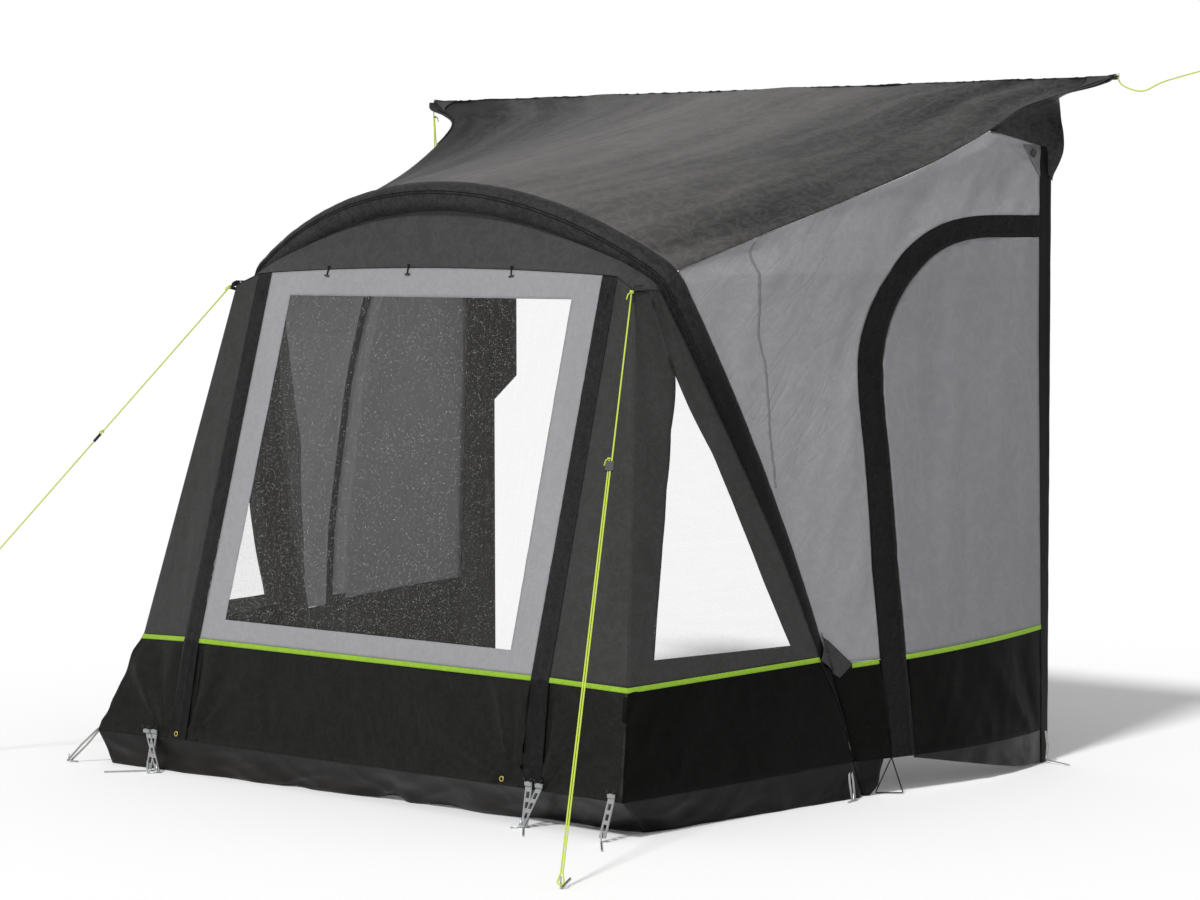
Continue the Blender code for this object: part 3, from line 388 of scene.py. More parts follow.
def makeFilmFinish(name, haze):
    # clear film with a light haze, waves in the sheet and drops of water on it, the drops painted
    # white as glints of light
    finish = Finish(name)
    at, flat = finish.place(), finish.cloth()
    patchy = finish.noise(at, 4.0, 3.0, 0.6)
    drops = 0
    for scale, size, rarity in filmSpec["drops"]:
        cells = finish.stretched(flat, (scale, scale * filmSpec["tall"], 1.0))
        settings = {"feature": "F1", "voronoi_dimensions": "2D"}
        sockets = {"Vector": cells, "Scale": 1.0, "Randomness": 1.0}
        reach = finish.node("TexVoronoi", settings, sockets)
        seed = finish.node("TexVoronoi", settings, sockets, output=1)
        pick = finish.node("SeparateColor", None, {"Color": seed})
        chosen = (pick + patchy * 0.16 - 0.08).above(rarity, 0.03)
        drops = (1 - reach.above(size * 0.75, size * 0.35)) * chosen + drops
    wave = finish.noise(finish.stretched(at, (1.0, 1.0, 0.25)), 7.0, 2.0, 0.5, 0.3)
    smear = finish.noise(finish.stretched(flat, (1.0, 0.12, 1.0)), 60.0, 3.0, 0.6)
    # painted highlight: the drops are white in the colour and less clear, standing for light
    # glinting on the water
    dropGlints = finish.mix(drops, tone("8a8886"), tone("ffffff"))
    finish.shade(Base_Color=dropGlints, Roughness=0.22 + smear * 0.12)
    finish.shade(Alpha=haze + smear * haze + drops * filmSpec["dropHaze"])
    finish.shade(Specular_IOR_Level=0.2, IOR=1.45)
    finish.bump(wave * 0.002, 0.6)


def makeCordFinish():
    finish = Finish("limeCord")
    flat = finish.cloth()
    one, two = (finish.bands("DIAGONAL", finish.stretched(flat, (way, 1.0, 1.0)), 90.0)
                for way in (1.0, -1.0))
    braid = one * two
    base = finish.mix(braid, tone("b4c838"), tone("e2f468"))
    finish.shade(Base_Color=base, Roughness=0.6)
    finish.bump(braid * 0.0004)


def makePlainFinish(name, colour, roughness, metallic, scale, relief):
    finish = Finish(name)
    at = finish.place()
    grain = finish.noise(at, scale, 3.0, 0.6)
    stain = finish.noise(at, scale * 0.1, 3.0, 0.6)
    base = finish.mix(stain * 0.7 + grain * 0.3, tone(colour, 0.78), tone(colour, 1.15))
    finish.shade(Base_Color=base, Roughness=roughness + stain * 0.16 - 0.08)
    finish.shade(Metallic=metallic)
    finish.bump(grain * relief)


makeFinishes()


# Building blocks
def show(name, mesh, finish, body, nodes=()):
    obj = bpy.data.objects.new(name, mesh)
    scene.collection.objects.link(obj)
    mesh.materials.clear()
    mesh.materials.append(finishes[finish])
    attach(obj, body)
    if nodes:
        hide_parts(*nodes)
    return obj


def meshOf(name, bm):
    mesh = bpy.data.meshes.new(name)
    bm.to_mesh(mesh)
    bm.free()
    return mesh


def thicken(obj, thickness):
    wall = obj.modifiers.new("thickness", "SOLIDIFY")
    wall.thickness = thickness
    wall.offset = -1
    wall.use_even_offset = False


def gridPoints(bm, nu, nv, at):
    # a grid whose vertex (i, j) goes to at(i, j), with its UV layer and each vertex's (i, j)
    bmesh.ops.create_grid(bm, x_segments=nu - 1, y_segments=nv - 1, size=1)
    layer = bm.loops.layers.uv.new("cloth")
    where = {}
    for vert in bm.verts:
        i = round((vert.co.x + 1) / 2 * (nu - 1))
        j = round((vert.co.y + 1) / 2 * (nv - 1))
        where[vert] = (i, j)
        vert.co = at(i, j)
    return layer, where


def frames(points):
    # a frame at each point of a path that turns with it and doesn't twist
    out = []
    side = None
    for k, point in enumerate(points):
        ahead = points[min(k + 1, len(points) - 1)] - points[max(k - 1, 0)]
        ahead.normalize()
        if side is None:
            side = ahead.orthogonal().normalized()
        side = (side - ahead * side.dot(ahead)).normalized()
        out.append((ahead, side, ahead.cross(side)))
    return out


def sweep(name, points, radius, finish, body, nodes=(), sides=8, flat=1.0):
    # a closed tube along a path; radius is one value or one for each point
    radii = radius if isinstance(radius, (list, tuple)) else [radius] * len(points)
    turns = frames(points)
    run = runOf(points)
    bm = bmesh.new()

    def at(i, j):
        a = 2 * math.pi * i / sides
        _, side, up = turns[j]
        return points[j] + (side * math.cos(a) + up * math.sin(a) * flat) * radii[j]

    layer, where = gridPoints(bm, sides + 1, len(points), at)
    for face in bm.faces:
        for loop in face.loops:
            i, j = where[loop.vert]
            loop[layer].uv = (2 * math.pi * radii[j] * i / sides, run[j])
    bmesh.ops.remove_doubles(bm, verts=bm.verts[:], dist=1e-6)
    bmesh.ops.holes_fill(bm, edges=[e for e in bm.edges if e.is_boundary], sides=0)
    bmesh.ops.recalc_face_normals(bm, faces=bm.faces[:])
    for face in bm.faces:
        face.smooth = len(face.verts) == 4
    return show(name, meshOf(name, bm), finish, body, nodes)


def smoothLine(points, count):
    # a smooth curve through the points, read at an even spacing
    dense = []
    ends = [points[0] * 2 - points[1], *points, points[-1] * 2 - points[-2]]
    for a, b, c, d in zip(ends, ends[1:], ends[2:], ends[3:]):
        for i in range(12):
            t = i / 12
            dense.append(0.5 * ((2 * b) + (c - a) * t + (2 * a - 5 * b + 4 * c - d) * t * t
                                + (3 * b - a - 3 * c + d) * t ** 3))
    dense.append(points[-1])
    return evenly(dense, count)


def evenly(dense, count):
    run = runOf(dense)
    out = []
    k = 0
    for i in range(count + 1):
        goal = run[-1] * i / count
        while k < len(run) - 2 and run[k + 1] < goal:
            k += 1
        t = (goal - run[k]) / max(run[k + 1] - run[k], 1e-9)
        out.append(dense[k].lerp(dense[k + 1], t))
    return out


def block(name, centre, size, finish, body, turn=(0, 0, 0), tilt=0.0, bevel=0.0015):
    # a small box with rounded edges, turned about the axes and then tilted about its own Y
    bm = bmesh.new()
    bmesh.ops.create_cube(bm, size=1)
    for vert in bm.verts:
        vert.co = Vector((vert.co.x * size[0], vert.co.y * size[1], vert.co.z * size[2]))
    bmesh.ops.bevel(bm, geom=bm.edges[:], offset=bevel, affect="EDGES", segments=2, profile=0.5,
                    material=-1)
    spin = Matrix.Identity(4)
    for angle, axis in zip(turn, "XYZ"):
        spin = Matrix.Rotation(math.radians(angle), 4, axis) @ spin
    spin = spin @ Matrix.Rotation(math.radians(tilt), 4, "Y")
    bmesh.ops.transform(bm, matrix=Matrix.Translation(centre) @ spin, verts=bm.verts[:])
    bmesh.ops.recalc_face_normals(bm, faces=bm.faces[:])
    return show(name, meshOf(name, bm), finish, body)


# Cords, on the routes that the frame's own cords have
guySpec = {"top": (0.925, 1.790, 1.682), "right": (1.558, 2.858), "left": (1.950, 2.850),
           "footLevel": 0.014, "standoff": 0.006, "gap": 0.010, "turn": 0.0095, "flare": 0.038,
           "close": 0.0018, "runnerShare": 0.32, "runnerLength": 0.034, "tail": 0.012,
           "diameter": 0.005}
railCordSpec = {
    "height": 2.3985, "half": 1.6033, "depth": 0.0037,
    "right": ((0.006, 0.000, 0.000), (0.025, 0.000, -0.030), (0.105, 0.001, -0.052),
              (0.190, 0.001, -0.022), (0.345, 0.000, 0.012)),
    "left": ((0.006, 0.000, 0.000), (0.014, 0.001, -0.030), (0.010, 0.002, -0.120),
             (0.008, 0.002, -0.215), (0.002, 0.002, -0.228), (-0.004, 0.002, -0.215),
             (-0.006, 0.014, -0.120), (-0.002, 0.014, -0.060))}


def guyFrame(side, word):
    x, depth, z = guySpec["top"]
    top = place(side * x, depth, z)
    foot = place(side * guySpec[word][0], guySpec[word][1], guySpec["footLevel"])
    down = (foot - top).normalized()
    across = down.cross(Vector((0, 0, 1))).normalized() * side
    return top, foot, down, across


def makeGuy(side, word):
    top, foot, down, across = guyFrame(side, word)
    reach = (foot - top).length
    gap, turn = guySpec["gap"], guySpec["turn"]
    runnerAt = reach * guySpec["runnerShare"]
    flareAt = reach - guySpec["flare"]
    route = [top + down * d for d in steps(6, guySpec["standoff"], runnerAt)]
    near = across * guySpec["close"]
    route += [top + down * d + near for d in steps(8, runnerAt + 0.02, flareAt)]
    centre = foot + across * gap / 2 - down * turn
    for i in range(9):
        a = math.pi * i / 8
        route.append(centre - across * math.cos(a) * turn + down * math.sin(a) * turn)
    tailAt = runnerAt - guySpec["runnerLength"] / 2 - guySpec["tail"]
    route += [top + down * d + across * gap - near for d in steps(8, flareAt, tailAt)]
    radius = guySpec["diameter"] / 2
    line = sweep("guyLine_" + word, route, radius, "limeCord", "awning",
                 ["guy_line_" + word])
    start = route[0]
    knot = makeKnot("guyKnot_" + word, start, down, radius)
    stop = makeKnot("guyStop_" + word, route[-1], down, radius, turns=1)
    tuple(start)
    pathLength(route)
    print("guy line", word, round(pathLength(route), 3), "m")


def makeKnot(name, at, along, radius, turns=2):
    # an overhand lump: the line wound round itself, with a short tail
    side = along.orthogonal().normalized()
    up = along.cross(side)
    points = []
    for i in range(turns * 12 + 1):
        a = 2 * math.pi * i / 12
        r = radius * 1.9
        points.append(at + (side * math.cos(a) + up * math.sin(a)) * r
                      + along * (radius * 1.9 * i / 12 - radius * turns * 0.95))
    last = points[-1]
    drop = Vector((side.x * 0.3, side.y * 0.3, -1)).normalized()
    points += [last + side * radius * 2 + drop * radius * k * 2 for k in (1, 2, 3, 4.5)]
    return sweep(name, points, radius * 0.9, "limeCord", "awning", sides=6)


def makeRailCords():
    for side, word in hands:
        start = place(side * railCordSpec["half"], railCordSpec["depth"], railCordSpec["height"])
        route = [start + Vector((side * x, -y, z)) for x, y, z in railCordSpec[word]]
        path = [start, *smoothLine(route, 28)]
        radius = guySpec["diameter"] / 2
        line = sweep("railCord_" + word, path, radius, "limeCord", "awning",
                     ["rail_cord_" + word])
        ahead = (path[-1] - path[-2]).normalized()
        knot = makeKnot("railKnot_" + word, path[-1], ahead, radius, 1)
        pathLength(path)
        print("rail cord", word, round(pathLength(path), 3), "m")


for side, word in hands:
    makeGuy(side, word)
makeRailCords()


# The arch, and the skins on which the cloth lies
archSpec = {"apex": 1.991, "topRadius": 1.68, "shoulderRadius": 0.11, "legRadius": 5.5,
            "topAngle": math.radians(32), "shoulderAngle": math.radians(71),
            "roofAngle": math.radians(50), "footDepth": 1.06, "apexDepth": 1.702,
            "sleeveRadius": 0.05, "seamOffset": 0.03, "spacing": 0.008}
skinSpec = {
    "levels": (0, 0.12, 0.455, 1.76),
    "frontDepths": (2.090, 2.160, 2.1012, 1.7335),
    "panelHalves": (0.775, 0.775, 0.768, 0.764),
    "bandHalves": (0.850, 0.850, 0.835, 0.825),
    "cornerHalves": (1.170, 1.209, 1.1183, 0.9026),
    "cornerDepths": (2.090, 2.179, 2.0408, 1.7535),
    "stripeLevels": (0.461, 0.461, 0.461, 0.445, 0.474),
    "topEdgeLevels": (1.750, 1.730, 1.725, 1.685, 1.690),
    "valanceShares": (0, 0.71, 0.78, 1),
    "hem": 0.12, "stripe": 0.014, "clothGap": 0.0015,
    "railHeight": 2.40, "rearHalf": 1.34, "rearTopHalf": 1.37, "bulge": 0.09,
    "gussetFoot": 2.12, "gussetTop": 2.355, "strip": 0.06,
    "stripeFront": 0.436, "stripeRear": 0.486}
roofEdge = ((1.603, 0.0075, 2.400), (1.547, 0.056, 2.367), (1.438, 0.107, 2.338),
            (1.345, 0.177, 2.297), (1.299, 0.323, 2.213), (1.235, 0.580, 2.098),
            (1.170, 0.900, 1.990), (1.120, 1.130, 1.915), (1.070, 1.350, 1.845))


def archPoint(a, offset=0.0):
    # (x, z) on the arch where it has turned by the angle a from its apex
    rTop, rShoulder, rLeg = (archSpec[k] for k in ("topRadius", "shoulderRadius", "legRadius"))
    x, z, r = 0.0, archSpec["apex"] - rTop, rTop
    if a > archSpec["topAngle"]:
        x += (rTop - rShoulder) * math.sin(archSpec["topAngle"])
        z += (rTop - rShoulder) * math.cos(archSpec["topAngle"])
        r = rShoulder
    if a > archSpec["shoulderAngle"]:
        x += (rShoulder - rLeg) * math.sin(archSpec["shoulderAngle"])
        z += (rShoulder - rLeg) * math.cos(archSpec["shoulderAngle"])
        r = rLeg
    return x + (r + offset) * math.sin(a), z + (r + offset) * math.cos(a)


def footAngle(offset=0.0, level=0.0):
    low, high = archSpec["shoulderAngle"], math.radians(100)
    for _ in range(40):
        middle = (low + high) / 2
        low, high = (middle, high) if archPoint(middle, offset)[1] > level else (low, middle)
    return low


def beamDepth(z):
    return blend(archSpec["footDepth"], archSpec["apexDepth"], z / archSpec["apex"])


def archTrack(offset, first, last):
    # points along the arch between two angles, at an even spacing
    breaks = sorted({first, last, *(a for a in (archSpec["topAngle"], archSpec["shoulderAngle"])
                                    if first < a < last)})
    dense = []
    for a, b in zip(breaks, breaks[1:]):
        for t in steps(60)[:-1]:
            x, z = archPoint(blend(a, b, t) + 1e-9, offset)
            dense.append(place(x, beamDepth(z), z))
    x, z = archPoint(last, offset)
    dense.append(place(x, beamDepth(z), z))
    return evenly(dense, max(4, round(pathLength(dense) / archSpec["spacing"])))


beamAxis = archTrack(0.0, 0.0, footAngle(0.0, -0.06))
beamAxis = [mirrored(p, -1) for p in reversed(beamAxis[1:])] + beamAxis
axisTree = kdtree.KDTree(len(beamAxis) - 1)
for k, (p, q) in enumerate(zip(beamAxis, beamAxis[1:])):
    axisTree.insert((p + q) / 2, k)
axisTree.balance()


def fromBeam(point):
    # distance from the beam's centre line
    _, k, _ = axisTree.find(point)
    a, b = beamAxis[k], beamAxis[k + 1]
    t = (point - a).dot(b - a) / (b - a).length_squared
    return (point - a.lerp(b, clamp(t, -0.5, 1.5))).length


def onTrack(points, share):
    at = clamp(share) * (len(points) - 1)
    k = min(int(at), len(points) - 2)
    return points[k].lerp(points[k + 1], at - k)


def legHalf(z, offset=0.0):
    # half distance between the legs; straight on above the shoulder's lower end
    a = footAngle(offset, z)
    x, level = archPoint(a, offset)
    if level < z - 1e-4:
        below = archPoint(a + 0.01, offset)
        return reading(z, (below[1], level), (below[0], x))
    return x


legLevels = steps(90, -0.02, 1.80)
legCentres = [legHalf(z) for z in legLevels]
legSpec = {"seamLevels": (0.0, 0.12, 0.30, 0.46, 0.56, 0.79, 1.30, 1.75),
           "seamAngles": (-55, -40, -25, 17, 21, 37, 79, 100),
           "tangent": 10, "rear": -55, "rearGap": 0.043, "sewnRadius": 0.0490,
           "coverRadius": 0.0526, "coverTop": 0.47}


def legCentre(z):
    return place(reading(z, legLevels, legCentres), beamDepth(z), z)


def onLeg(angle, z, radius):
    # a point on the leg at a level; angle 0 faces sideways and 90 faces the front
    a = math.radians(angle)
    normal = Vector((math.cos(a), -math.sin(a), 0))
    lean = (legCentre(z + 0.01) - legCentre(z - 0.01)).normalized()
    return legCentre(z) + normal * radius / math.sqrt(1 - normal.dot(lean) ** 2)


def legSeam(z):
    return reading(z, legSpec["seamLevels"], legSpec["seamAngles"])


def frontSkin(s, z):
    # middle 0, panel's edge 1, zip band 2, corner 3, leg 4, round the leg to its rear 5
    spec = skinSpec
    side, s = (-1, -s) if s < 0 else (1, s)
    if s > 3:
        return mirrored(baySkinAt(s - 3, z), side)
    depth = reading(z, spec["levels"], spec["frontDepths"])
    stations = ((0.0, depth), (reading(z, spec["levels"], spec["panelHalves"]), depth),
                (reading(z, spec["levels"], spec["bandHalves"]), depth),
                (reading(z, spec["levels"], spec["cornerHalves"]),
                 reading(z, spec["levels"], spec["cornerDepths"])))
    k = min(int(s), 2)
    a, b = stations[k], stations[k + 1]
    return place(side * blend(a[0], b[0], s - k), blend(a[1], b[1], s - k), z)


def baySkinAt(t, z):
    # flat from the front corner to where it touches the leg, and on round the leg past 1
    seam, spec = legSeam(z), legSpec
    radius = blend(spec["coverRadius"], spec["sewnRadius"], clamp((z - spec["coverTop"]) / 0.1))
    first = max(seam, spec["tangent"])
    if t > 1:
        return onLeg(blend(first, min(seam, first), t - 1), z, radius)
    return frontSkin(3, z).lerp(onLeg(first, z, radius), t)


def makeSideEdge():
    # front edge of the side wall: up the leg, over the shoulder and up the roof's edge
    offset = archSpec["seamOffset"]
    leg = archTrack(offset, archSpec["roofAngle"], footAngle(offset))
    leg.reverse()
    edge = [place(*p) for p in reversed(roofEdge)]
    roof = smoothLine([leg[-1], *edge], 160)
    return leg, roof


legEdge, roofSide = makeSideEdge()
sideEdge = legEdge + roofSide[1:]
sideLevels = [p.z for p in sideEdge]
sideHalves = [p.x for p in sideEdge]
calmLevels = steps(60, 0.0, skinSpec["railHeight"])
calmHalves = []
for z in calmLevels:
    near = [reading(clamp(z + d, 0.0, 2.36), sideLevels, sideHalves) for d in steps(12, -0.3, 0.3)]
    calmHalves.append(sum(near) / len(near))
sideDepths = [wallY - p.y for p in sideEdge]


def sideSkin(depth, z):
    spec = skinSpec
    z = min(z, spec["railHeight"] - 0.001)
    half = reading(z, sideLevels, sideHalves)
    reach = reading(z, sideLevels, sideDepths)
    rear = reading(z, (0, spec["gussetFoot"], spec["railHeight"]),
                   (spec["rearHalf"], spec["rearHalf"], spec["rearTopHalf"]))
    q = max(1 - depth / reach, -0.08)
    belly = max(0.0, reading(z, (0, archSpec["apex"], spec["railHeight"]), (spec["bulge"], 0, 0)))
    calm = (reading(z, calmLevels, calmHalves) - half) * ease(q / 0.22) * (1 - q)
    calm *= clamp((2.26 - z) / 0.12)
    return place(blend(half, rear, q) + calm + belly * 4 * q * (1 - q), depth, z)


archRoof = archTrack(archSpec["seamOffset"], 0.0, archSpec["roofAngle"])
roofDepths = [wallY - p.y for p in reversed(roofSide)]
roofSideBack = list(reversed(roofSide))


def roofSkin(u, v):
    # patch between the rail, the arch and the two side edges
    a = abs(u)
    depth = blend(roofDepths[0], roofDepths[-1], v)
    side = edgeAtDepth(depth)
    rear = place(a * roofEdge[0][0], roofEdge[0][1], roofEdge[0][2])
    front = onTrack(archRoof, a)
    rearMiddle, frontMiddle = place(0, roofEdge[0][1], roofEdge[0][2]), archRoof[0]
    spine = rearMiddle.lerp(frontMiddle, v)
    corners = rearMiddle.lerp(place(*roofEdge[0]), a).lerp(frontMiddle.lerp(archRoof[-1], a), v)
    point = spine.lerp(side, a) + rear.lerp(front, v) - corners
    return mirrored(point, -1 if u < 0 else 1)


def edgeAtDepth(depth):
    low, high = 0, len(roofDepths) - 2
    while low < high:
        middle = (low + high + 1) // 2
        low, high = (middle, high) if roofDepths[middle] <= depth else (low, middle - 1)
    t = (depth - roofDepths[low]) / (roofDepths[low + 1] - roofDepths[low])
    return roofSideBack[low].lerp(roofSideBack[low + 1], t)


# Folds: sums of long noise ridges, and creases that run out from a pulled point
def wrinkle(a, b, angle, wave, reach, seed, sharp=False):
    c, s = math.cos(math.radians(angle)), math.sin(math.radians(angle))
    along, across = a * c + b * s, -a * s + b * c
    across += 0.6 * wave * noise.noise(Vector((a / reach, b / reach, seed + 7.1)))
    n = noise.noise(Vector((along / reach, across / wave, seed)))
    return 0.5 - abs(n) * 2 if sharp else n


def ridges(rows, a, b):
    # rows of degrees, width, length, seed, whether the ridges are sharp, and depth
    return sum(wrinkle(a, b, *row[:-1]) * row[-1] for row in rows)


def pulled(a, b, at, count, reach, seed):
    # creases that radiate from a point and fade with distance
    x, y = a - at[0], b - at[1]
    r = math.hypot(x, y)
    if r < 1e-6:
        return 0.0
    turn = math.atan2(y, x)
    n = noise.noise(Vector((turn * count / math.pi, r / reach * 0.5, seed)))
    return n * math.exp(-r / reach) * clamp(r / (reach * 0.12))


inside = place(0, 0.9, 0.9)


def sheet(name, surface, us, vs, finish, nodes=(), body="awning",
          folds=None, side=1, hole=None, chart=None, lift=0.0, thickness=0.0012,
          sewn=True, cloth=True):
    # one cut of cloth on a skin, with its folds and its thickness
    nu, nv = len(us), len(vs)
    columns = []
    for u in us:
        limit = sleeveLimits(surface, u, vs[0], vs[-1]) if sewn else (vs[0], vs[-1])
        columns.append([mirrored(surface(u, drawnIn(v, vs[0], vs[-1], limit)), side)
                        for v in vs])
    bm = bmesh.new()
    layer, where = gridPoints(bm, nu, nv, lambda i, j: columns[i][j])
    runU, runV = runOf([line[nv // 2] for line in columns]), runOf(columns[nu // 2])

    def flatOf(vert):
        i, j = where[vert]
        return chart(columns[i][j]) if chart else (runU[i], runV[j])

    for face in bm.faces:
        for loop in face.loops:
            loop[layer].uv = flatOf(loop.vert)
    if hole:
        def inHole(face):
            i, j = (min(where[v][k] for v in face.verts) for k in (0, 1))
            return hole((us[i] + us[i + 1]) / 2, (vs[j] + vs[j + 1]) / 2)

        bmesh.ops.delete(bm, geom=[f for f in bm.faces if inHole(f)], context="FACES")
    kept = {v: flatOf(v) for v in bm.verts}
    params = {v: (us[where[v][0]], vs[where[v][1]]) for v in bm.verts}
    bm.normal_update()
    facing = sum((f.normal.dot(f.calc_center_median() - inside) * f.calc_area()
                  for f in bm.faces), 0.0)
    if facing < 0:
        bmesh.ops.reverse_faces(bm, faces=bm.faces[:])
        bm.normal_update()
    area = sum(f.calc_area() for f in bm.faces)
    widths = [pathLength([columns[i][j] for i in range(nu)]) for j in range(nv)]
    lengths = [pathLength(columns[i]) for i in range(nu)]
    if folds or lift:
        moves = {}
        for vert in bm.verts:
            a, b = kept[vert]
            u, v = params[vert]
            amount = lift + (folds(a, b, u, v) if folds else 0.0)
            moves[vert] = vert.normal * amount
        for vert, move in moves.items():
            vert.co += move
            vert.co.z = max(vert.co.z, 0.0015)
    bmesh.ops.remove_doubles(bm, verts=bm.verts[:], dist=1e-5)
    bmesh.ops.dissolve_degenerate(bm, dist=1e-6, edges=bm.edges[:])
    for face in bm.faces:
        face.smooth = True
    obj = show(name, meshOf(name, bm), finish, body, nodes)
    thicken(obj, thickness)
    if cloth:
        width, length = max(widths), max(lengths)
        if area < 0.35 * width * length:
            width = area / length
        min(area, width * length)
        flatSizes[name] = (round(width, 3), round(length, 3), round(area, 3))
    return obj


flatSizes = {}


def drawnIn(v, low, high, limit):
    # only the outer stretch of a row is drawn in to its limit
    span = min(1.0, (high - low) / 2)
    if v < low + span:
        return blend(limit[0], low + span, (v - low) / span)
    if v > high - span:
        return blend(limit[1], high - span, (high - v) / span)
    return v


def sleeveLimits(surface, u, low, high):
    # where a sheet that runs into the beam's sleeve meets the sleeve's surface
    radius = archSpec["sleeveRadius"] - 0.0025
    middle = (low + high) / 2
    out = []
    for end in (low, high):
        if fromBeam(surface(u, end)) >= radius:
            out.append(end)
            continue
        free, caught = middle, end
        for _ in range(18):
            test = (free + caught) / 2
            free, caught = (test, caught) if fromBeam(surface(u, test)) >= radius else (free, test)
        out.append(free)
    return out


# Roof
roofSpec = {"columns": 200, "rows": 110, "sag": 0.018,
            "folds": ((90, 0.30, 1.6, 1.3, False, 0.010), (96, 0.085, 1.1, 2.7, True, 0.0022),
                      (78, 0.13, 0.7, 4.9, False, 0.0035)),
            "hem": {"inset": 0.004, "depth": 0.009, "level": 2.3925, "height": 0.0085,
                    "scallop": 0.0055, "thickness": 0.0022}}


def roofFolds(a, b, u, v):
    rail = bell(v, 0.03) * noise.noise(Vector((a / 0.10, 0.3, 5.5))) * 0.005
    corner = pulled(a, b, (0.05, 0.1), 9, 0.35, 6.0) * 0.012
    corner += pulled(a, b, (3.15, 0.1), 9, 0.35, 8.0) * 0.012
    pinned = clamp((1 - abs(u)) * 12) * clamp((1 - v) * 14)
    return (ridges(roofSpec["folds"], a, b) + corner) * pinned * clamp(v * 10 + 0.2) + rail


def makeRoof():
    def surface(u, v):
        point = roofSkin(u, v)
        point.z -= roofSpec["sag"] * math.sin(math.pi * v) * (1 - u * u)
        return point

    sheet("roof", surface, steps(roofSpec["columns"], -1, 1), steps(roofSpec["rows"]),
          "roofCloth", ["roof_sheet"], folds=roofFolds, lift=0.0016)

    spec = roofSpec["hem"]

    def hem(u, v):
        x = blend(-1, 1, u) * (roofEdge[0][0] - spec["inset"])
        scallop = 0.5 - abs(noise.noise(Vector((x / 0.045, 0.7, 3.3)))) * 1.6
        scallop += 0.4 * noise.noise(Vector((x / 0.21, 0.7, 9.3)))
        return place(x, spec["depth"] + 0.006 * v,
                     spec["level"] + v * (spec["height"] + spec["scallop"] * scallop))

    sheet("railHem", hem, steps(620), steps(2), "bandCloth", sewn=False,
          thickness=spec["thickness"])
    print("roof made")


makeRoof()


# Sleeve of the air beam, with piping where the sheets are sewn to it
sleeveSpec = {"sides": 64, "crinkle": 0.0011, "girth": 0.314, "thickness": 0.0011,
              "bladder": 0.0468, "piping": 0.0016,
              "pipings": {"pipingRear": 128, "pipingRearOuter": 118, "pipingFront": -104,
                          "pipingFrontOuter": -94}}


def beamFrame(k):
    points = beamAxis
    ahead = (points[min(k + 1, len(points) - 1)] - points[max(k - 1, 0)]).normalized()
    lean = Vector((0, archSpec["footDepth"] - archSpec["apexDepth"], archSpec["apex"]))
    back = Vector((1, 0, 0)).cross(lean.normalized())
    out = ahead.cross(back)
    return ahead, out.normalized(), back.normalized()


def makeSleeve():
    ground = [k for k, p in enumerate(beamAxis) if p.z > -0.055]
    first, last = ground[0], ground[-1]
    points = beamAxis[first:last + 1]
    sides = sleeveSpec["sides"]
    bm = bmesh.new()
    run = runOf(points)

    def at(i, j):
        a = 2 * math.pi * i / sides
        _, out, back = beamFrame(first + j)
        c, s = math.cos(a), math.sin(a)
        z = points[j].z
        strength = sleeveSpec["crinkle"] * (1.6 if abs(z - 1.72) < 0.13 else 1.0)
        n = noise.noise(Vector((run[j] / 0.045, c * 1.2, s * 1.2)))
        n += 0.6 * (0.5 - abs(noise.noise(Vector((run[j] / 0.02 + c, c * 2.2, s * 2.2 + 4)))) * 2)
        radius = archSpec["sleeveRadius"] + (n - 0.5) * strength
        return points[j] + (out * c + back * s) * radius

    layer, where = gridPoints(bm, sides + 1, len(points), at)
    for face in bm.faces:
        for loop in face.loops:
            i, j = where[loop.vert]
            loop[layer].uv = (sleeveSpec["girth"] * i / sides, run[j])
    bmesh.ops.remove_doubles(bm, verts=bm.verts[:], dist=1e-5)
    bmesh.ops.bisect_plane(bm, geom=bm.verts[:] + bm.edges[:] + bm.faces[:], dist=1e-5,
                           plane_co=(0, 0, 0.0005), plane_no=(0, 0, -1), clear_outer=True)
    bmesh.ops.recalc_face_normals(bm, faces=bm.faces[:])
    for face in bm.faces:
        face.smooth = True
    obj = show("beamSleeve", meshOf("beamSleeve", bm), "sleeveCloth", "awning",
               ["beam_sleeve"])
    thicken(obj, sleeveSpec["thickness"])
    sweep("airBladder", [p.copy() for p in points if p.z > 0.004], sleeveSpec["bladder"],
          "bladderFilm", "awning", ["air_beam"], sides=24)
    for name, angle in sleeveSpec["pipings"].items():
        line = []
        for j in range(len(points)):
            _, out, back = beamFrame(first + j)
            a = math.radians(angle)
            line.append(points[j] + (out * math.cos(a) + back * math.sin(a))
                        * (archSpec["sleeveRadius"] + 0.0004))
        line = [p for p in line if p.z > 0.01]
        sweep(name, line[::2], sleeveSpec["piping"], "webbing", "awning", sides=6)
    print("sleeve made")


makeSleeve()


# Valance between the sleeve and the front's upper edge
def topEdge(s):
    levels = skinSpec["topEdgeLevels"]
    s = abs(s)
    return blend(levels[0], levels[1], s * s) if s < 1 else reading(s, (1, 2, 3, 4), levels[1:])


valanceEnd = footAngle(0.0, skinSpec["topEdgeLevels"][4])
archFront = archTrack(0.0, 0.0, valanceEnd)


def valanceSkin(s, v):
    share = reading(abs(s), (0, 1, 2, 3), skinSpec["valanceShares"])
    upper = mirrored(onTrack(archFront, share), -1 if s < 0 else 1)
    return frontSkin(s, topEdge(s)).lerp(upper, v)


valanceSpec = {"folds": ((90, 0.16, 0.5, 11.3, False, 0.004), (84, 0.05, 0.3, 12.7, True, 0.0012)),
               "gather": 0.010, "hem": 0.0012, "facing": (-0.016, 0.004)}


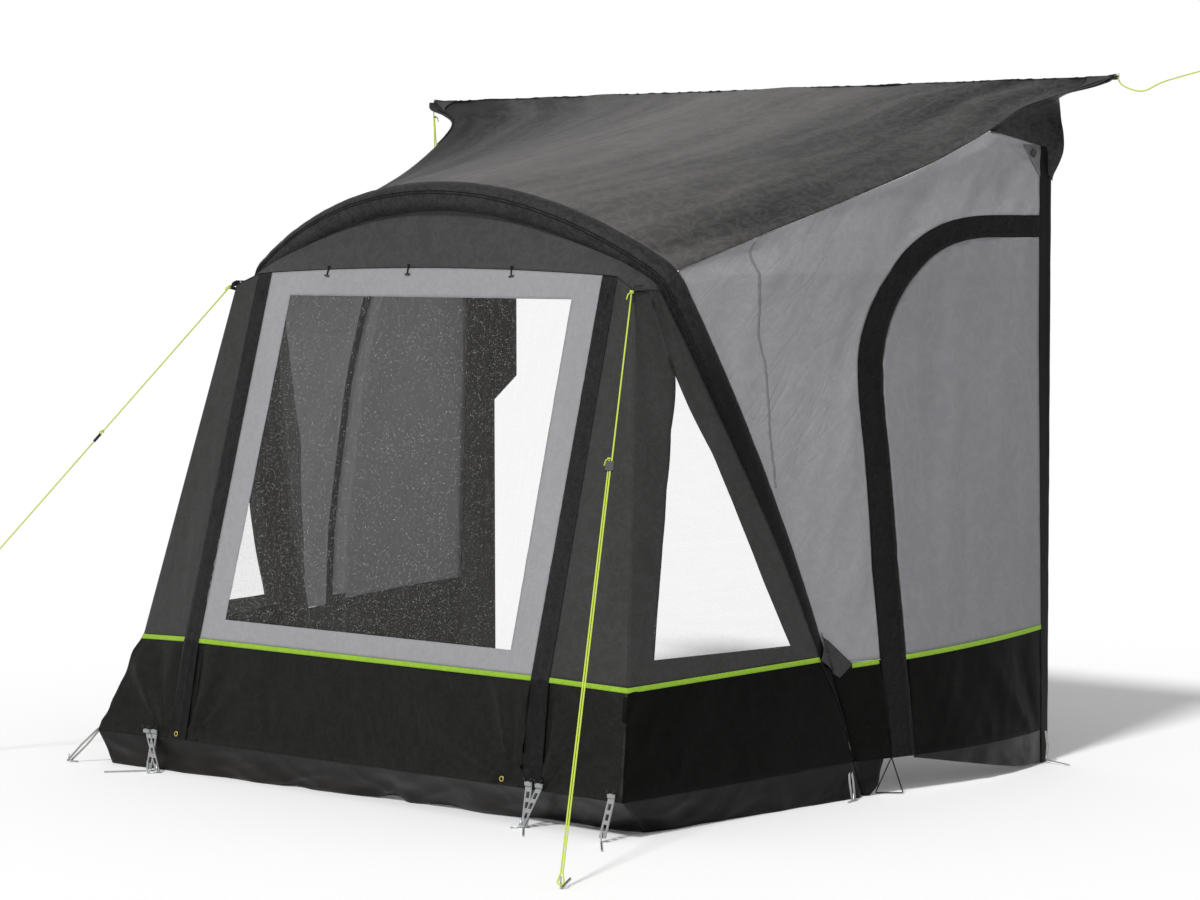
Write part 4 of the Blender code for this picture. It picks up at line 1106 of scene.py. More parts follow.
def valanceFolds(a, b, u, v):
    gather = 0.0
    for end in (-3, 3):
        near = bell(u - end, 0.55)
        gather += near * noise.noise(Vector((a / 0.028, b / 0.25, end))) * valanceSpec["gather"]
    hem = valanceSpec["hem"] * clamp(1 - v / 0.05)
    return ((ridges(valanceSpec["folds"], a, b) + gather) * clamp(v * 6) * clamp((1 - v) * 6)
            + hem)


def makeValance():
    sheet("valanceCloth", valanceSkin, steps(240, -3, 3), steps(30), "valanceCloth",
          ["valance"], folds=valanceFolds, lift=0.0010)

    def facing(s, v):
        return frontSkin(s, topEdge(s) + blend(*valanceSpec["facing"], v))

    sheet("valanceFacing", facing, steps(160, -3, 3), steps(2), "bandCloth",
          lift=-0.0050, sewn=False)
    print("valance made")


makeValance()


# Front: window panel, zip bands, wings and bays
frontSpec = {
    "windowTopHalf": 0.649, "windowFootHalf": 0.660, "windowTop": 1.651, "windowFoot": 0.540,
    "tuck": 0.006, "clearance": 0.0006, "bandEdge": 2.03, "tapeEdges": (0.972, 1.10),
    "backing": 0.018,        # how far a skirt goes up behind its stripe
    "binding": 0.001,        # how far a stripe goes past its own edges
    "borderFolds": ((90, 0.045, 0.5, 21.0, False, 0.0022), (74, 0.05, 0.25, 22.0, True, 0.0012),
                    (8, 0.06, 0.3, 24.0, False, 0.0014)),
    "paneFolds": ((90, 0.4, 1.2, 31.0, False, 0.004), (20, 0.3, 0.8, 32.0, False, 0.003)),
    "skirtFolds": ((80, 0.22, 0.5, 41.0, False, 0.008), (66, 0.07, 0.25, 42.0, True, 0.0026),
                   (110, 0.09, 0.22, 43.0, True, 0.0020)),
    "bandFolds": ((12, 0.03, 0.06, 51.0, True, 0.0012), (88, 0.05, 0.5, 52.0, False, 0.0012)),
    "wingFolds": ((90, 0.14, 0.9, 61.0, False, 0.009), (78, 0.06, 0.5, 62.0, True, 0.0028)),
    "bayFolds": ((20, 0.12, 0.5, 71.0, False, 0.007), (12, 0.05, 0.3, 72.0, True, 0.0024))}
baySpec = {"apex": 1.414, "sill": 0.5295, "foot": 0.46, "top": 1.69, "rim": 0.012}
bayShares = {"left": ((0.529, 0.704, 0.880, 1.057, 1.235, 1.414),
                      (0.134, 0.171, 0.221, 0.294, 0.412, 0.625)),
             "right": ((0.530, 0.735, 0.898, 1.164, 1.414), (0.868, 0.828, 0.805, 0.756, 0.625))}


def stripeAt(s):
    return reading(abs(s), (0, 1, 2, 3, 4), skinSpec["stripeLevels"])


def stripeTop(s):
    return stripeAt(s) + skinSpec["stripe"] / 2


def stripeFoot(s):
    return stripeAt(s) - skinSpec["stripe"] / 2


def stripeSkin(s, share):
    extra = frontSpec["binding"]
    return frontSkin(s, blend(stripeFoot(s) - extra, stripeTop(min(s, 4)) + extra, share))


def skirtSkin(s, share, clearance=0.0):
    # from the hem up to behind the stripe
    top = stripeFoot(min(s, 4)) + frontSpec["backing"]
    return frontSkin(s, blend(skinSpec["hem"] + clearance, top, share))


def panelTop(s):
    return topEdge(s) - skinSpec["clothGap"]


def windowShare(z):
    low, high = frontSpec["windowFoot"], frontSpec["windowTop"]
    shares = []
    for level, half in ((low, frontSpec["windowFootHalf"]), (high, frontSpec["windowTopHalf"])):
        shares.append(half / reading(level, skinSpec["levels"], skinSpec["panelHalves"]))
    return reading(z, (low, high), shares)


def borderSkin(u, v):
    # u: 0 to 1 left border, to 2 window, to 3 right border; v: the same upwards
    low, high = frontSpec["windowFoot"], frontSpec["windowTop"]
    guess = reading(v, (0, 1, 2, 3), (0.468, low, high, 1.74))
    w = windowShare(guess)
    edge = 1 - frontSpec["clearance"]
    s = reading(u, (0, 1, 2, 3), (-edge, -w, w, edge))
    z = reading(v, (0, 1, 2, 3), (stripeTop(s), low, high, panelTop(s)))
    return frontSkin(s, z)


def borderFolds(a, b, u, v):
    rim = clamp(min(u, 3 - u, v * 2, (3 - v) * 2) * 5)
    return ridges(frontSpec["borderFolds"], a, b) * (0.25 + 0.75 * rim)


def makePane(name, surface, us, vs, finish, nodes, body, side=1, folds=None):
    return sheet(name, surface, us, vs, finish, nodes, body=body, side=side,
                 folds=folds, lift=-0.0022, thickness=0.0006, sewn=False)


def makeFront():
    us, vs = zones(10, 96, 10), zones(6, 80, 8)
    sheet("windowBorder", borderSkin, us, vs, "borderCloth", ["window_border"],
          body="front_panel", folds=borderFolds, hole=lambda u, v: 1 < u < 2 and 1 < v < 2,
          sewn=False)
    tuck = frontSpec["tuck"]

    def paneSkin(u, v):
        z = blend(frontSpec["windowFoot"] - tuck, frontSpec["windowTop"] + tuck, v)
        w = windowShare(z) + tuck
        return frontSkin(blend(-w, w, u), z)

    def paneFolds(a, b, u, v):
        return ridges(frontSpec["paneFolds"], a, b) * clamp(min(u, 1 - u, v, 1 - v) * 12)

    makePane("windowPane", paneSkin, steps(72), steps(60), "clearFilm", ["window_pane"],
             "front_panel", folds=paneFolds)
    clearance = frontSpec["clearance"]

    def stripe(u, v):
        return stripeSkin(blend(clearance - 1, 1 - clearance, u), v)

    def skirt(u, v):
        return skirtSkin(blend(clearance - 1, 1 - clearance, u), v, clearance)

    sheet("frontStripe", stripe, steps(110), steps(3), "greenBinding",
          ["stripe_front"], body="front_panel", lift=0.0016, sewn=False)
    sheet("frontSkirt", skirt, steps(110), steps(22), "frontSkirtCloth",
          ["skirt_front"], body="front_panel", folds=skirtFolds, lift=-0.0016, sewn=False)
    print("front panel made")


def skirtFolds(a, b, u, v):
    rays = pulled(a, b, (0.02, 0.0), 18, 0.34, 44.0) + pulled(a, b, (1.50, 0.0), 18, 0.34, 45.0)
    hem = 0.0010 * clamp(1 - v / 0.05)
    folds = ridges(frontSpec["skirtFolds"], a, b) + rays * 0.034
    return folds * clamp((1 - v) * 5) * clamp(v * 9, 0.25) + hem


def bandFolds(a, b, u, v):
    # the zip stands out under the cloth
    return 0.0022 * bell(u - 0.45, 0.07) + ridges(frontSpec["bandFolds"], a, b)


def wingFolds(a, b, u, v):
    calm = clamp(min(u, 1 - u) * 6) * clamp(min(v, 1 - v) * 20)
    return ridges(frontSpec["wingFolds"], a, b) * calm


def bayFolds(a, b, u, v):
    calm = clamp(min(v, 3 - v) * 3) * clamp(min(u, 3 - u) * 4)
    return ridges(frontSpec["bayFolds"], a, b) * calm


def bayEdges(z):
    # shares of the way from the corner to the leg at the window's two edges
    return [reading(clamp(z, bayShares[k][0][0], baySpec["apex"]), *bayShares[k])
            for k in ("left", "right")]


def makeSideOfFront(side, word):
    hem, apex, sill = skinSpec["hem"], baySpec["apex"], baySpec["sill"]

    def bandSkin(u, v):
        s = blend(1 + frontSpec["clearance"], frontSpec["bandEdge"], u)
        return frontSkin(s, blend(hem, panelTop(min(s, 2)), v))

    def tapeSkin(u, v):
        s = blend(*frontSpec["tapeEdges"], u)
        return frontSkin(s, blend(hem + 0.004, topEdge(s), v))

    sheet("zipTape_" + word, tapeSkin, steps(4), steps(60), "bandCloth",
          side=side, lift=-0.0052, sewn=False)
    sheet("zipBand_" + word, bandSkin, steps(22), steps(150), "bandCloth",
          ["zip_band_" + word], folds=bandFolds, side=side, lift=0.0022, sewn=False)

    def wingSkin(u, v):
        s = blend(2, 3, u)
        return frontSkin(s, blend(stripeTop(s), panelTop(s), v))

    sheet("wing_" + word + "_cloth", wingSkin, steps(22), steps(90), "wingCloth",
          ["wing_" + word], folds=wingFolds, side=side, sewn=False)

    def baySkin(v, u):
        # v: 0 to 1 below the window, to 2 beside it, to 3 above; u: across, window from 1 to 2
        guess = reading(v, (0, 1, 2, 3), (baySpec["foot"], sill, apex, baySpec["top"]))
        left, right = bayEdges(guess)
        s = 3 + reading(u, (0, 1, 2, 3), (0.0, left, right, 1.0))
        z = reading(v, (0, 1, 2, 3), (stripeTop(s), sill, apex, panelTop(s)))
        return frontSkin(s, z)

    sheet("bay_" + word + "_cloth", baySkin, zones(6, 66, 20), zones(8, 34, 8), "wingCloth",
          ["bay_" + word], folds=bayFolds, side=side,
          hole=lambda v, u: 1 < u < 2 and 1 < v < 2)

    def bayPaneSkin(v, u):
        rim = baySpec["rim"]
        z = blend(sill - frontSpec["tuck"], apex + rim, v)
        left, right = bayEdges(z)
        return frontSkin(3 + blend(left - rim, right + rim, u), z)

    makePane("bayPane_" + word, bayPaneSkin, steps(60), steps(30), "bayFilm",
             ["bay_pane_" + word], "awning", side=side)

    def folds(a, b, u, v):
        return skirtFolds(b, a, v, u) * clamp((2 - v) * 3, 0.1)

    sheet("cornerStripe_" + word, lambda u, v: stripeSkin(2 + v, u), steps(3), zones(26, 70),
          "greenBinding", ["stripe_corner_" + word], side=side, lift=0.0016,
          sewn=False)
    skirt = sheet("cornerSkirt_" + word, lambda u, v: skirtSkin(2 + v, u), steps(22),
                  zones(26, 66, 8), "skirtCloth", ["skirt_corner_" + word],
                  folds=folds, side=side, lift=-0.0008, sewn=False)
    paintLitFront(skirt, "frontSkirtCloth")


def paintLitFront(obj, finish):
    # the faces that look forwards carry a lighter copy of the finish: painted light, for the front
    # that gets more light than the sides
    obj.data.materials.append(finishes[finish])
    for face in obj.data.polygons:
        z = clamp(face.center.z, 0.0, skinSpec["stripeLevels"][0])
        half, corner = (reading(z, skinSpec["levels"], skinSpec[k])
                        for k in ("cornerHalves", "cornerDepths"))
        ahead = wallY - face.center.y > corner - 0.05
        face.material_index = 1 if ahead and abs(face.center.x) < half - 0.004 else 0


flapSpec = {"endLevels": (0.0, 0.03, 0.08, 0.13), "endDepths": (1.000, 0.968, 0.960, 0.945),
            "skew": 0.0515, "overlap": 0.008,
            "folds": ((78, 0.20, 0.5, 81.0, False, 0.020), (20, 0.07, 0.4, 82.0, True, 0.010),
                      (160, 0.09, 0.4, 83.0, True, 0.006))}


def makeFlap():
    def surface(u, v):
        z = blend(0.0, skinSpec["hem"] + flapSpec["overlap"], u)
        side, s = (-1, -v) if v < 0 else (1, v)
        if s > 5:
            end = reading(z, flapSpec["endLevels"], flapSpec["endDepths"])
            point = sideSkin(blend(beamDepth(z) - legSpec["rearGap"], end, s - 5), z)
        else:
            point = frontSkin(s, z)
        aside = flapSpec["skew"] * side * point.x * (1 - u) * clamp(4 - s)
        return mirrored(point, side) + Vector((0, aside, 0))

    def folds(a, b, u, v):
        amount = ridges(flapSpec["folds"], b, a) * clamp(1.1 - u)
        nearLeg = clamp((abs(v) - 3.6) * 5)
        return blend(amount, abs(amount) * 0.5, nearLeg) - 0.0022 * (1 - nearLeg) - 0.0008

    us = [k - 6 for k in zones(8, 8, 66, 26, 8, 70, 70, 8, 26, 66, 8, 8)]
    flap = sheet("mudFlap", surface, steps(16), us, "flapVinylShadedSide", ["mud_flap"],
                 folds=folds, sewn=False)
    paintLitFront(flap, "flapVinyl")
    print("flap made")


makeFront()
for side, word in hands:
    makeSideOfFront(side, word)
makeFlap()
print("front made")


# Side walls, doors and the pieces at the rear edge
doorSpec = {"archDepth": 0.25, "archLevel": 1.15, "width": 0.59, "height": 0.70,
            "bandWidth": 0.11, "bandTop": 0.075, "squareness": 2.6, "bandSquareness": 2.5,
            "clearance": 0.0012, "edgeDepths": (0.820, 0.845, 0.854),
            "bandDepths": (0.915, 0.960, 0.970),
            "edgeLevels": (0.12, 0.455, 0.75), "foot": 0.47,
            "folds": ((104, 0.20, 1.2, 131.0, False, 0.010),
                      (96, 0.07, 0.9, 133.0, False, 0.003),
                      (50, 0.14, 0.6, 132.0, False, 0.004))}


def roundCorner(width, height, squareness, count=60):
    power = 2 / squareness
    out = []
    for i in range(count + 1):
        a = math.pi / 2 * i / count
        out.append((doorSpec["archDepth"] + width * max(0.0, math.cos(a)) ** power,
                    doorSpec["archLevel"] + height * math.sin(a) ** power))
    return out


def flatLine(points, count):
    # even points along a line of (depth, level) pairs
    return [(p.x, p.y) for p in evenly([Vector((d, z, 0)) for d, z in points], count)]


def doorLine(inset=0.0):
    lower = [(d - inset, z) for d, z in zip(doorSpec["edgeDepths"], doorSpec["edgeLevels"])]
    return lower + roundCorner(doorSpec["width"] - inset, doorSpec["height"] - inset,
                               doorSpec["squareness"])


def bandLine(outset=0.0):
    lower = [(d + outset, z) for d, z in zip(doorSpec["bandDepths"], doorSpec["edgeLevels"])]
    return lower + roundCorner(doorSpec["width"] + doorSpec["bandWidth"] + outset,
                               doorSpec["height"] + doorSpec["bandTop"] + outset,
                               doorSpec["bandSquareness"])


def depthOn(line, z):
    return reading(z, [p[1] for p in line], [p[0] for p in line])


def sideStripe(depth):
    return reading(depth, (0, beamDepth(skinSpec["levels"][2])),
                   (skinSpec["stripeRear"], skinSpec["stripeFront"]))


def sideChart(point):
    return wallY - point.y, point.z


wallSpec = {"folds": ((122, 0.17, 1.1, 91.0, False, 0.013), (112, 0.07, 0.9, 92.0, False, 0.0045),
                      (60, 0.12, 0.5, 93.0, False, 0.003)),
            "gussetTop": (0.323, 2.213), "gussetSeam": 2.178, "bandOverlap": 0.006}


def wallFolds(a, b, u, v):
    # a is the depth, b the level
    seam = bell(a - 1.345, 0.006) * 0.0015
    pull = pulled(a, b, (1.30, 0.46), 12, 0.25, 94.0) * 0.012
    top = pulled(a, b, (0.25, 2.18), 14, 0.30, 95.0) * 0.010
    edge = clamp(v * 8) * clamp((1 - v) * 10) * clamp(u * 12, 0.05)
    tight = wrinkle(a, b, 128, 0.035, 0.5, 96.0, True) * 0.0016 * bell(a - 1.10, 0.25)
    gather = noise.noise(Vector((b / 0.035, a / 0.12, 97.0))) * 0.004 * bell(a - 1.335, 0.07)
    broad = ridges(wallSpec["folds"], a, b)
    return (broad + pull + top + tight + gather) * edge + seam


def wallOuter(foot):
    leg = [(wallY - p.y, p.z) for p in legEdge if p.z > foot]
    tip = wallSpec["gussetTop"]
    roof = [(wallY - p.y, p.z - 0.0006) for p in roofSide[1:] if wallY - p.y > tip[0]]
    rear = (skinSpec["strip"], wallSpec["gussetSeam"])
    return flatLine([(beamDepth(foot), foot), *leg, *roof, tip, rear], 400)


def onPairs(pairs, share):
    at = clamp(share) * (len(pairs) - 1)
    k = min(int(at), len(pairs) - 2)
    t = at - k
    return blend(pairs[k][0], pairs[k + 1][0], t), blend(pairs[k][1], pairs[k + 1][1], t)


def between(near, far):
    # skin on the side wall between two lines of (depth, level) pairs
    def skin(u, v):
        a, b = onPairs(near, u), onPairs(far, u)
        return sideSkin(blend(a[0], b[0], v), blend(a[1], b[1], v))
    return skin


def toRear(line, count, foot=None):
    # a line, from a level upwards where one is given, and then back to the rear strip
    if foot is not None:
        line = [(depthOn(line, foot), foot), *[p for p in line if p[1] > foot]]
    return flatLine([*line, (skinSpec["strip"], line[-1][1])], count)


def makeWall(side, word):
    band = bandLine(-wallSpec["bandOverlap"])
    foot = sideStripe(0.96) + skinSpec["stripe"] / 2
    outer, inner = wallOuter(foot), toRear(band, 400, foot)

    def surface(u, v):
        near = onPairs(inner, reading(u, (0, 0.36, 1), (0, 0.5, 1)))
        far = onPairs(outer, u)
        return sideSkin(blend(near[0], far[0], v), blend(near[1], far[1], v))

    sheet("wallCloth_" + word, surface, steps(200), steps(40), "wallCloth",
          ["wall_" + word], folds=wallFolds, side=side, chart=sideChart)

    def bandWaves(a, b, u, v):
        seam = 0.0020 * bell(v - 0.16, 0.05) + 0.0010 * bell(v - 0.93, 0.04)
        pucker = noise.noise(Vector((u * 46, v * 1.5, 101.0))) * 0.0022
        pucker += (0.5 - 2 * abs(noise.noise(Vector((u * 90, v * 2.5, 102.0))))) * 0.0010
        return seam + pucker

    sheet("doorBand_" + word + "_cloth", between(toRear(doorLine(), 400), toRear(bandLine(), 400)),
          steps(330), steps(14), "doorBandCloth", ["door_band_" + word],
          folds=bandWaves, side=side, chart=sideChart, lift=0.0026, sewn=False)

    def footSkin(u, v):
        top = foot - skinSpec["stripe"] * 0.5 + frontSpec["backing"] * 0.3
        z = blend(skinSpec["hem"], top, u)
        if v > 1:
            seam = min(legSeam(z), legSpec["seamAngles"][3])
            return onLeg(blend(legSpec["rear"], seam, v - 1), z, legSpec["coverRadius"])
        near, far = depthOn(band, z), beamDepth(z) - legSpec["rearGap"]
        return sideSkin(blend(near, far, v), z)

    def footFolds(a, b, u, v):
        return abs(skirtFolds(a, b, v / 2, u)) * 0.6 * clamp((1.2 - v) * 3, 0.1)

    sheet("wallSkirt_" + word, footSkin, steps(24), zones(14, 9), "skirtCloth",
          ["skirt_wall_" + word], folds=footFolds, side=side, sewn=False)
    makeLegTrim(side, word)

    def wallStripe(u, v):
        depth = blend(band[2][0], legGussetSpec["wallDepth"], v)
        middle = sideStripe(depth) + blend(-0.5, 0.5, u) * (skinSpec["stripe"] + 0.002)
        return sideSkin(depth, middle)

    sheet("wallStripe_" + word, wallStripe, steps(3), steps(24), "greenBinding",
          side=side, chart=sideChart, lift=0.0022, sewn=False)
    makeInside(side, word)
    makeRearGusset(side, word)


legGussetSpec = {"wallDepth": 1.079, "corners": ((-0.066, 0.470), (0.016, 0.405),
                                                  (-0.009, 0.558), (0.082, 0.447)),
                 "pipingLevels": (0.118, 0.468)}


def legTrack(a, z, radius):
    # along the skirt: in front of the leg's rear for a < 0, on the wall behind it for a > 0
    if a < 0:
        return onLeg(legSpec["rear"] + math.degrees(-a / radius), z, radius)
    return sideSkin(beamDepth(z) - legSpec["rearGap"] - a, z)


def makeLegTrim(side, word):
    lowFront, lowRear, highFront, highRear = legGussetSpec["corners"]

    def surface(u, v):
        low = [blend(p, q, u) for p, q in zip(lowFront, lowRear)]
        high = [blend(p, q, u) for p, q in zip(highFront, highRear)]
        return legTrack(blend(low[0], high[0], v), blend(low[1], high[1], v),
                        legSpec["coverRadius"])

    def folds(a, b, u, v):
        return (wrinkle(a, b, 40, 0.06, 0.12, 161.0) * 0.0016 + 0.001) * clamp(v * 4, 0.3)

    sheet("legGusset_" + word, surface, steps(16), steps(14), "wingCloth",
          side=side, folds=folds, lift=0.0042, sewn=False)
    line = [mirrored(onLeg(legSeam(z), z, legSpec["coverRadius"] + 0.0006), side)
            for z in steps(20, *legGussetSpec["pipingLevels"])]
    sweep("legPiping_" + word, line, 0.0019, "webbing", "awning", sides=6)


# What shows from the inside
innerSpec = {"tape": (0.016, -0.018), "liningInset": 0.014, "liningOutset": 0.038,
             "legLevels": (0.58, 1.74), "legEdgeLevels": (0.50, 1.07, 1.64, 1.80),
             "legEdgeDepths": (1.095, 1.20, 1.44, 1.50), "legGap": 0.034, "legFade": 0.95,
             "facingDepths": (0.010, 0.150), "facingLevels": (0.02, 2.10)}


def makeInside(side, word):
    # the zip's tape lies inside the gap between the door and its band, and the lining behind it
    spec, foot = innerSpec, skinSpec["stripeRear"]
    tape = between(*(toRear(doorLine(inset), 200) for inset in spec["tape"]))
    sheet("doorTape_" + word, tape, steps(150), steps(2), "bandCloth",
          side=side, lift=-0.0060, sewn=False)
    lining = between(toRear(doorLine(spec["liningInset"]), 200, foot),
                     toRear(bandLine(-spec["liningOutset"]), 200, foot))
    sheet("doorLining_" + word, lining, steps(150), steps(3), "wallCloth",
          side=side, lift=-0.0078, sewn=False)

    def legLining(u, v):
        z = blend(*spec["legLevels"], u)
        rear = reading(z, spec["legEdgeLevels"], spec["legEdgeDepths"])
        return sideSkin(blend(rear, beamDepth(z) - spec["legGap"], v), z)

    def legFolds(a, b, u, v):
        rear = spec["legFade"]
        return wallFolds(a, b, 0.5, clamp((a - rear) / (beamDepth(b) - rear)))

    sheet("legLining_" + word, legLining, steps(60), steps(6), "wingCloth",
          side=side, chart=sideChart, lift=-0.0048, sewn=False, folds=legFolds)

    def facing(u, v):
        return sideSkin(blend(*spec["facingDepths"], u), blend(*spec["facingLevels"], v))

    sheet("rearFacing_" + word, facing, steps(5), steps(60), "padCloth",
          side=side, lift=-0.0110, sewn=False,
          folds=lambda a, b, u, v: wrinkle(b, a, 20, 0.08, 0.2, 152.0) * 0.003)


def roofOver(x, depth):
    # the roof's height above a place near its side edge, by small corrections of (u, v)
    u, v = 0.9, 0.1
    for _ in range(10):
        point = roofSkin(u, v)
        u += (x - point.x) / 1.6
        v += (depth - (wallY - point.y)) / 1.35
    return point.z


rearGussetSpec = {"depths": (0.0, 0.03, 0.055, 0.323), "feet": (2.045, 2.075, 2.162, 2.2125),
                  "overlap": 0.006, "bulge": 0.045,
                  "folds": ((40, 0.05, 0.2, 121.0, False, 0.010),
                            (120, 0.04, 0.15, 122.0, True, 0.004)),
                  "patch": ((0.175, 2.205), (0.0605, 2.180), (0.0605, 2.060)),
                  "toggle": (0.104, 2.140), "toggleSize": (0.020, 0.007, 0.026)}


def makeRearGusset(side, word):
    spec = rearGussetSpec
    length = wallSpec["gussetTop"][0]
    roofDepthsAt = steps(12, 0.0, length)
    tops = []
    for depth in roofDepthsAt:
        tops.append(roofOver(sideSkin(depth, 2.30).x, max(depth, 0.008))
                    + spec["overlap"] * (2 - depth / length))

    def surface(u, v):
        depth = length * u
        z = blend(reading(depth, spec["depths"], spec["feet"]),
                  reading(depth, roofDepthsAt, tops), v)
        point = sideSkin(depth, z)
        out = spec["bulge"] * clamp(1 - depth / 0.14) ** 2 * ease((2.37 - z) / 0.22)
        point.x += out * ease((z - 2.05) / 0.10)
        return point

    def folds(a, b, u, v):
        crease = ridges(spec["folds"], a, b)
        return crease * clamp(min(v, 1 - v) * 5) + 0.003 * clamp(1 - v * 3)

    sheet("rearGusset_" + word + "_cloth", surface, steps(36), steps(26), "sleeveCloth",
          ["rear_gusset_" + word], folds=folds, side=side, chart=sideChart,
          lift=0.0030, sewn=False)

    # a darker grey triangle on the wall by the rear corner, with a toggle
    tip, high, low = spec["patch"]

    def triangleSkin(u, v):
        return sideSkin(blend(tip[0], blend(low[0], high[0], v), u),
                        blend(tip[1], blend(low[1], high[1], v), u))

    sheet("cornerPatch_" + word, triangleSkin, steps(12), steps(10), "patchCloth",
          side=side, chart=sideChart, lift=0.0045, sewn=False,
          folds=lambda a, b, u, v: wallFolds(a, b, 0.5, 0.5))
    centre = sideSkin(*spec["toggle"])
    block("cornerToggle_" + word, Vector((side * (centre.x + 0.007), centre.y, centre.z)),
          spec["toggleSize"], "blackPlastic", "awning", turn=(0, 0, 90),
          tilt=35 * side)


doorFlapSpec = {"depths": (0.06, 0.25, 0.43, 0.84), "feet": (0.006, 0.016, 0.045, 0.116),
                "overlap": 0.006, "folds": ((90, 0.12, 0.3, 141.0, False, 0.012),
                                            (20, 0.05, 0.2, 142.0, True, 0.004))}


def makeDoor(side, word):
    body = word + "_door"
    rear = skinSpec["strip"]
    line = doorLine(doorSpec["clearance"])
    half, low = skinSpec["stripe"] / 2, doorSpec["foot"]
    edge = flatLine([(depthOn(line, low), low), *[p for p in line if p[1] > low]], 120)

    def surface(u, v):
        depth, z = onPairs(edge, v)
        at = blend(rear, depth, u)
        foot = sideStripe(at) + half
        top = edge[-1][1]
        return sideSkin(at, foot + (z - edge[0][1]) * (top - foot) / (top - edge[0][1]))

    def folds(a, b, u, v):
        calm = clamp(min(u, 1 - u) * 7) * clamp(min(v * 10, (1 - v) * 12))
        return ridges(doorSpec["folds"], a, b) * calm

    sheet("door_" + word + "_cloth", surface, steps(50), steps(110), "doorCloth",
          ["door_" + word], body=body, folds=folds, side=side, chart=sideChart, sewn=False)

    def strip(low, high):
        def skin(u, v):
            front = depthOn(line[:3], (low(0.8) + high(0.8)) / 2)
            depth = blend(rear, front, u)
            return sideSkin(depth, blend(low(depth), high(depth), v))
        return skin

    def flapFoot(depth):
        return reading(depth, doorFlapSpec["depths"], doorFlapSpec["feet"])

    def flapTop(depth):
        return skinSpec["hem"] + doorFlapSpec["overlap"]

    above, below = (lambda d: sideStripe(d) + half), (lambda d: sideStripe(d) - half)

    def doorSkirtFolds(a, b, u, v):
        return skirtFolds(a, b, u, v) * clamp(min(u, 1 - u) * 8)

    def doorFlapFolds(a, b, u, v):
        wave = ridges(doorFlapSpec["folds"], a, b)
        return wave * clamp(1 - v) * clamp(min(u, 1 - u) * 8) - 0.0020

    sheet("doorStripe_" + word, strip(lambda d: below(d) - 0.001, lambda d: above(d) + 0.001),
          steps(60), steps(3), "greenBinding", ["door_stripe_" + word],
          body=body, side=side, chart=sideChart, lift=0.0016, sewn=False)
    sheet("doorSkirt_" + word, strip(lambda d: skinSpec["hem"],
                                     lambda d: below(d) + frontSpec["backing"]), steps(60),
          steps(24), "skirtCloth", ["door_skirt_" + word], body=body,
          folds=doorSkirtFolds, side=side, chart=sideChart, lift=-0.0016, sewn=False)
    sheet("doorFlap_" + word, strip(flapFoot, flapTop), steps(60), steps(14),
          "flapVinyl", ["door_flap_" + word], body=body, folds=doorFlapFolds,
          side=side, chart=sideChart, sewn=False)


padSpec = {"halfInner": 1.17, "halfLow": 1.29, "thickness": 0.02, "top": 2.115, "stripTop": 2.175,
           "neckTop": 1.30, "neckFoot": 1.20, "foot": 0.004}


def makePad(side, word):
    spec = padSpec
    outer, inner, low = skinSpec["rearHalf"], spec["halfInner"], spec["halfLow"]
    outline = ((outer, spec["foot"]), (outer, spec["top"]), (inner, spec["top"]),
               (inner, spec["neckTop"]), (low, spec["neckFoot"]), (low, spec["foot"]))
    bm = bmesh.new()
    face = bm.faces.new([bm.verts.new(place(side * x, 0, z)) for x, z in outline])
    raised = bmesh.ops.extrude_face_region(bm, geom=[face])
    for item in raised["geom"]:
        if isinstance(item, bmesh.types.BMVert):
            item.co.y -= spec["thickness"]
    bmesh.ops.recalc_face_normals(bm, faces=bm.faces[:])
    bmesh.ops.bevel(bm, geom=bm.edges[:], offset=0.006, affect="EDGES", segments=3, profile=0.5,
                    material=-1)
    for z in steps(24, 0.08, 2.05):
        bmesh.ops.bisect_plane(bm, geom=bm.verts[:] + bm.edges[:] + bm.faces[:], dist=1e-5,
                               plane_co=(0, 0, z), plane_no=(0, 0, 1))
    layer = bm.loops.layers.uv.new("cloth")
    for face in bm.faces:
        face.smooth = True
        for loop in face.loops:
            loop[layer].uv = (loop.vert.co.x, loop.vert.co.z)
    mesh = meshOf("rearPad_" + word, bm)
    mesh.set_sharp_from_angle(angle=math.radians(50))
    pad = show("rearPad_" + word, mesh, "padCloth", "awning", ["rear_pad_" + word])

    def stripSkin(u, v):
        return sideSkin(blend(0.001, skinSpec["strip"], u), blend(0.004, spec["stripTop"], v))

    sheet("rearStrip_" + word, stripSkin, steps(8), steps(120), "padCloth",
          side=side, chart=sideChart, lift=0.0002, thickness=0.003, sewn=False,
          folds=lambda a, b, u, v: wrinkle(b, a, 20, 0.03, 0.1, 151.0) * 0.0012)


for side, word in hands:
    makeWall(side, word)
    makeDoor(side, word)
    makePad(side, word)
print("sides made")


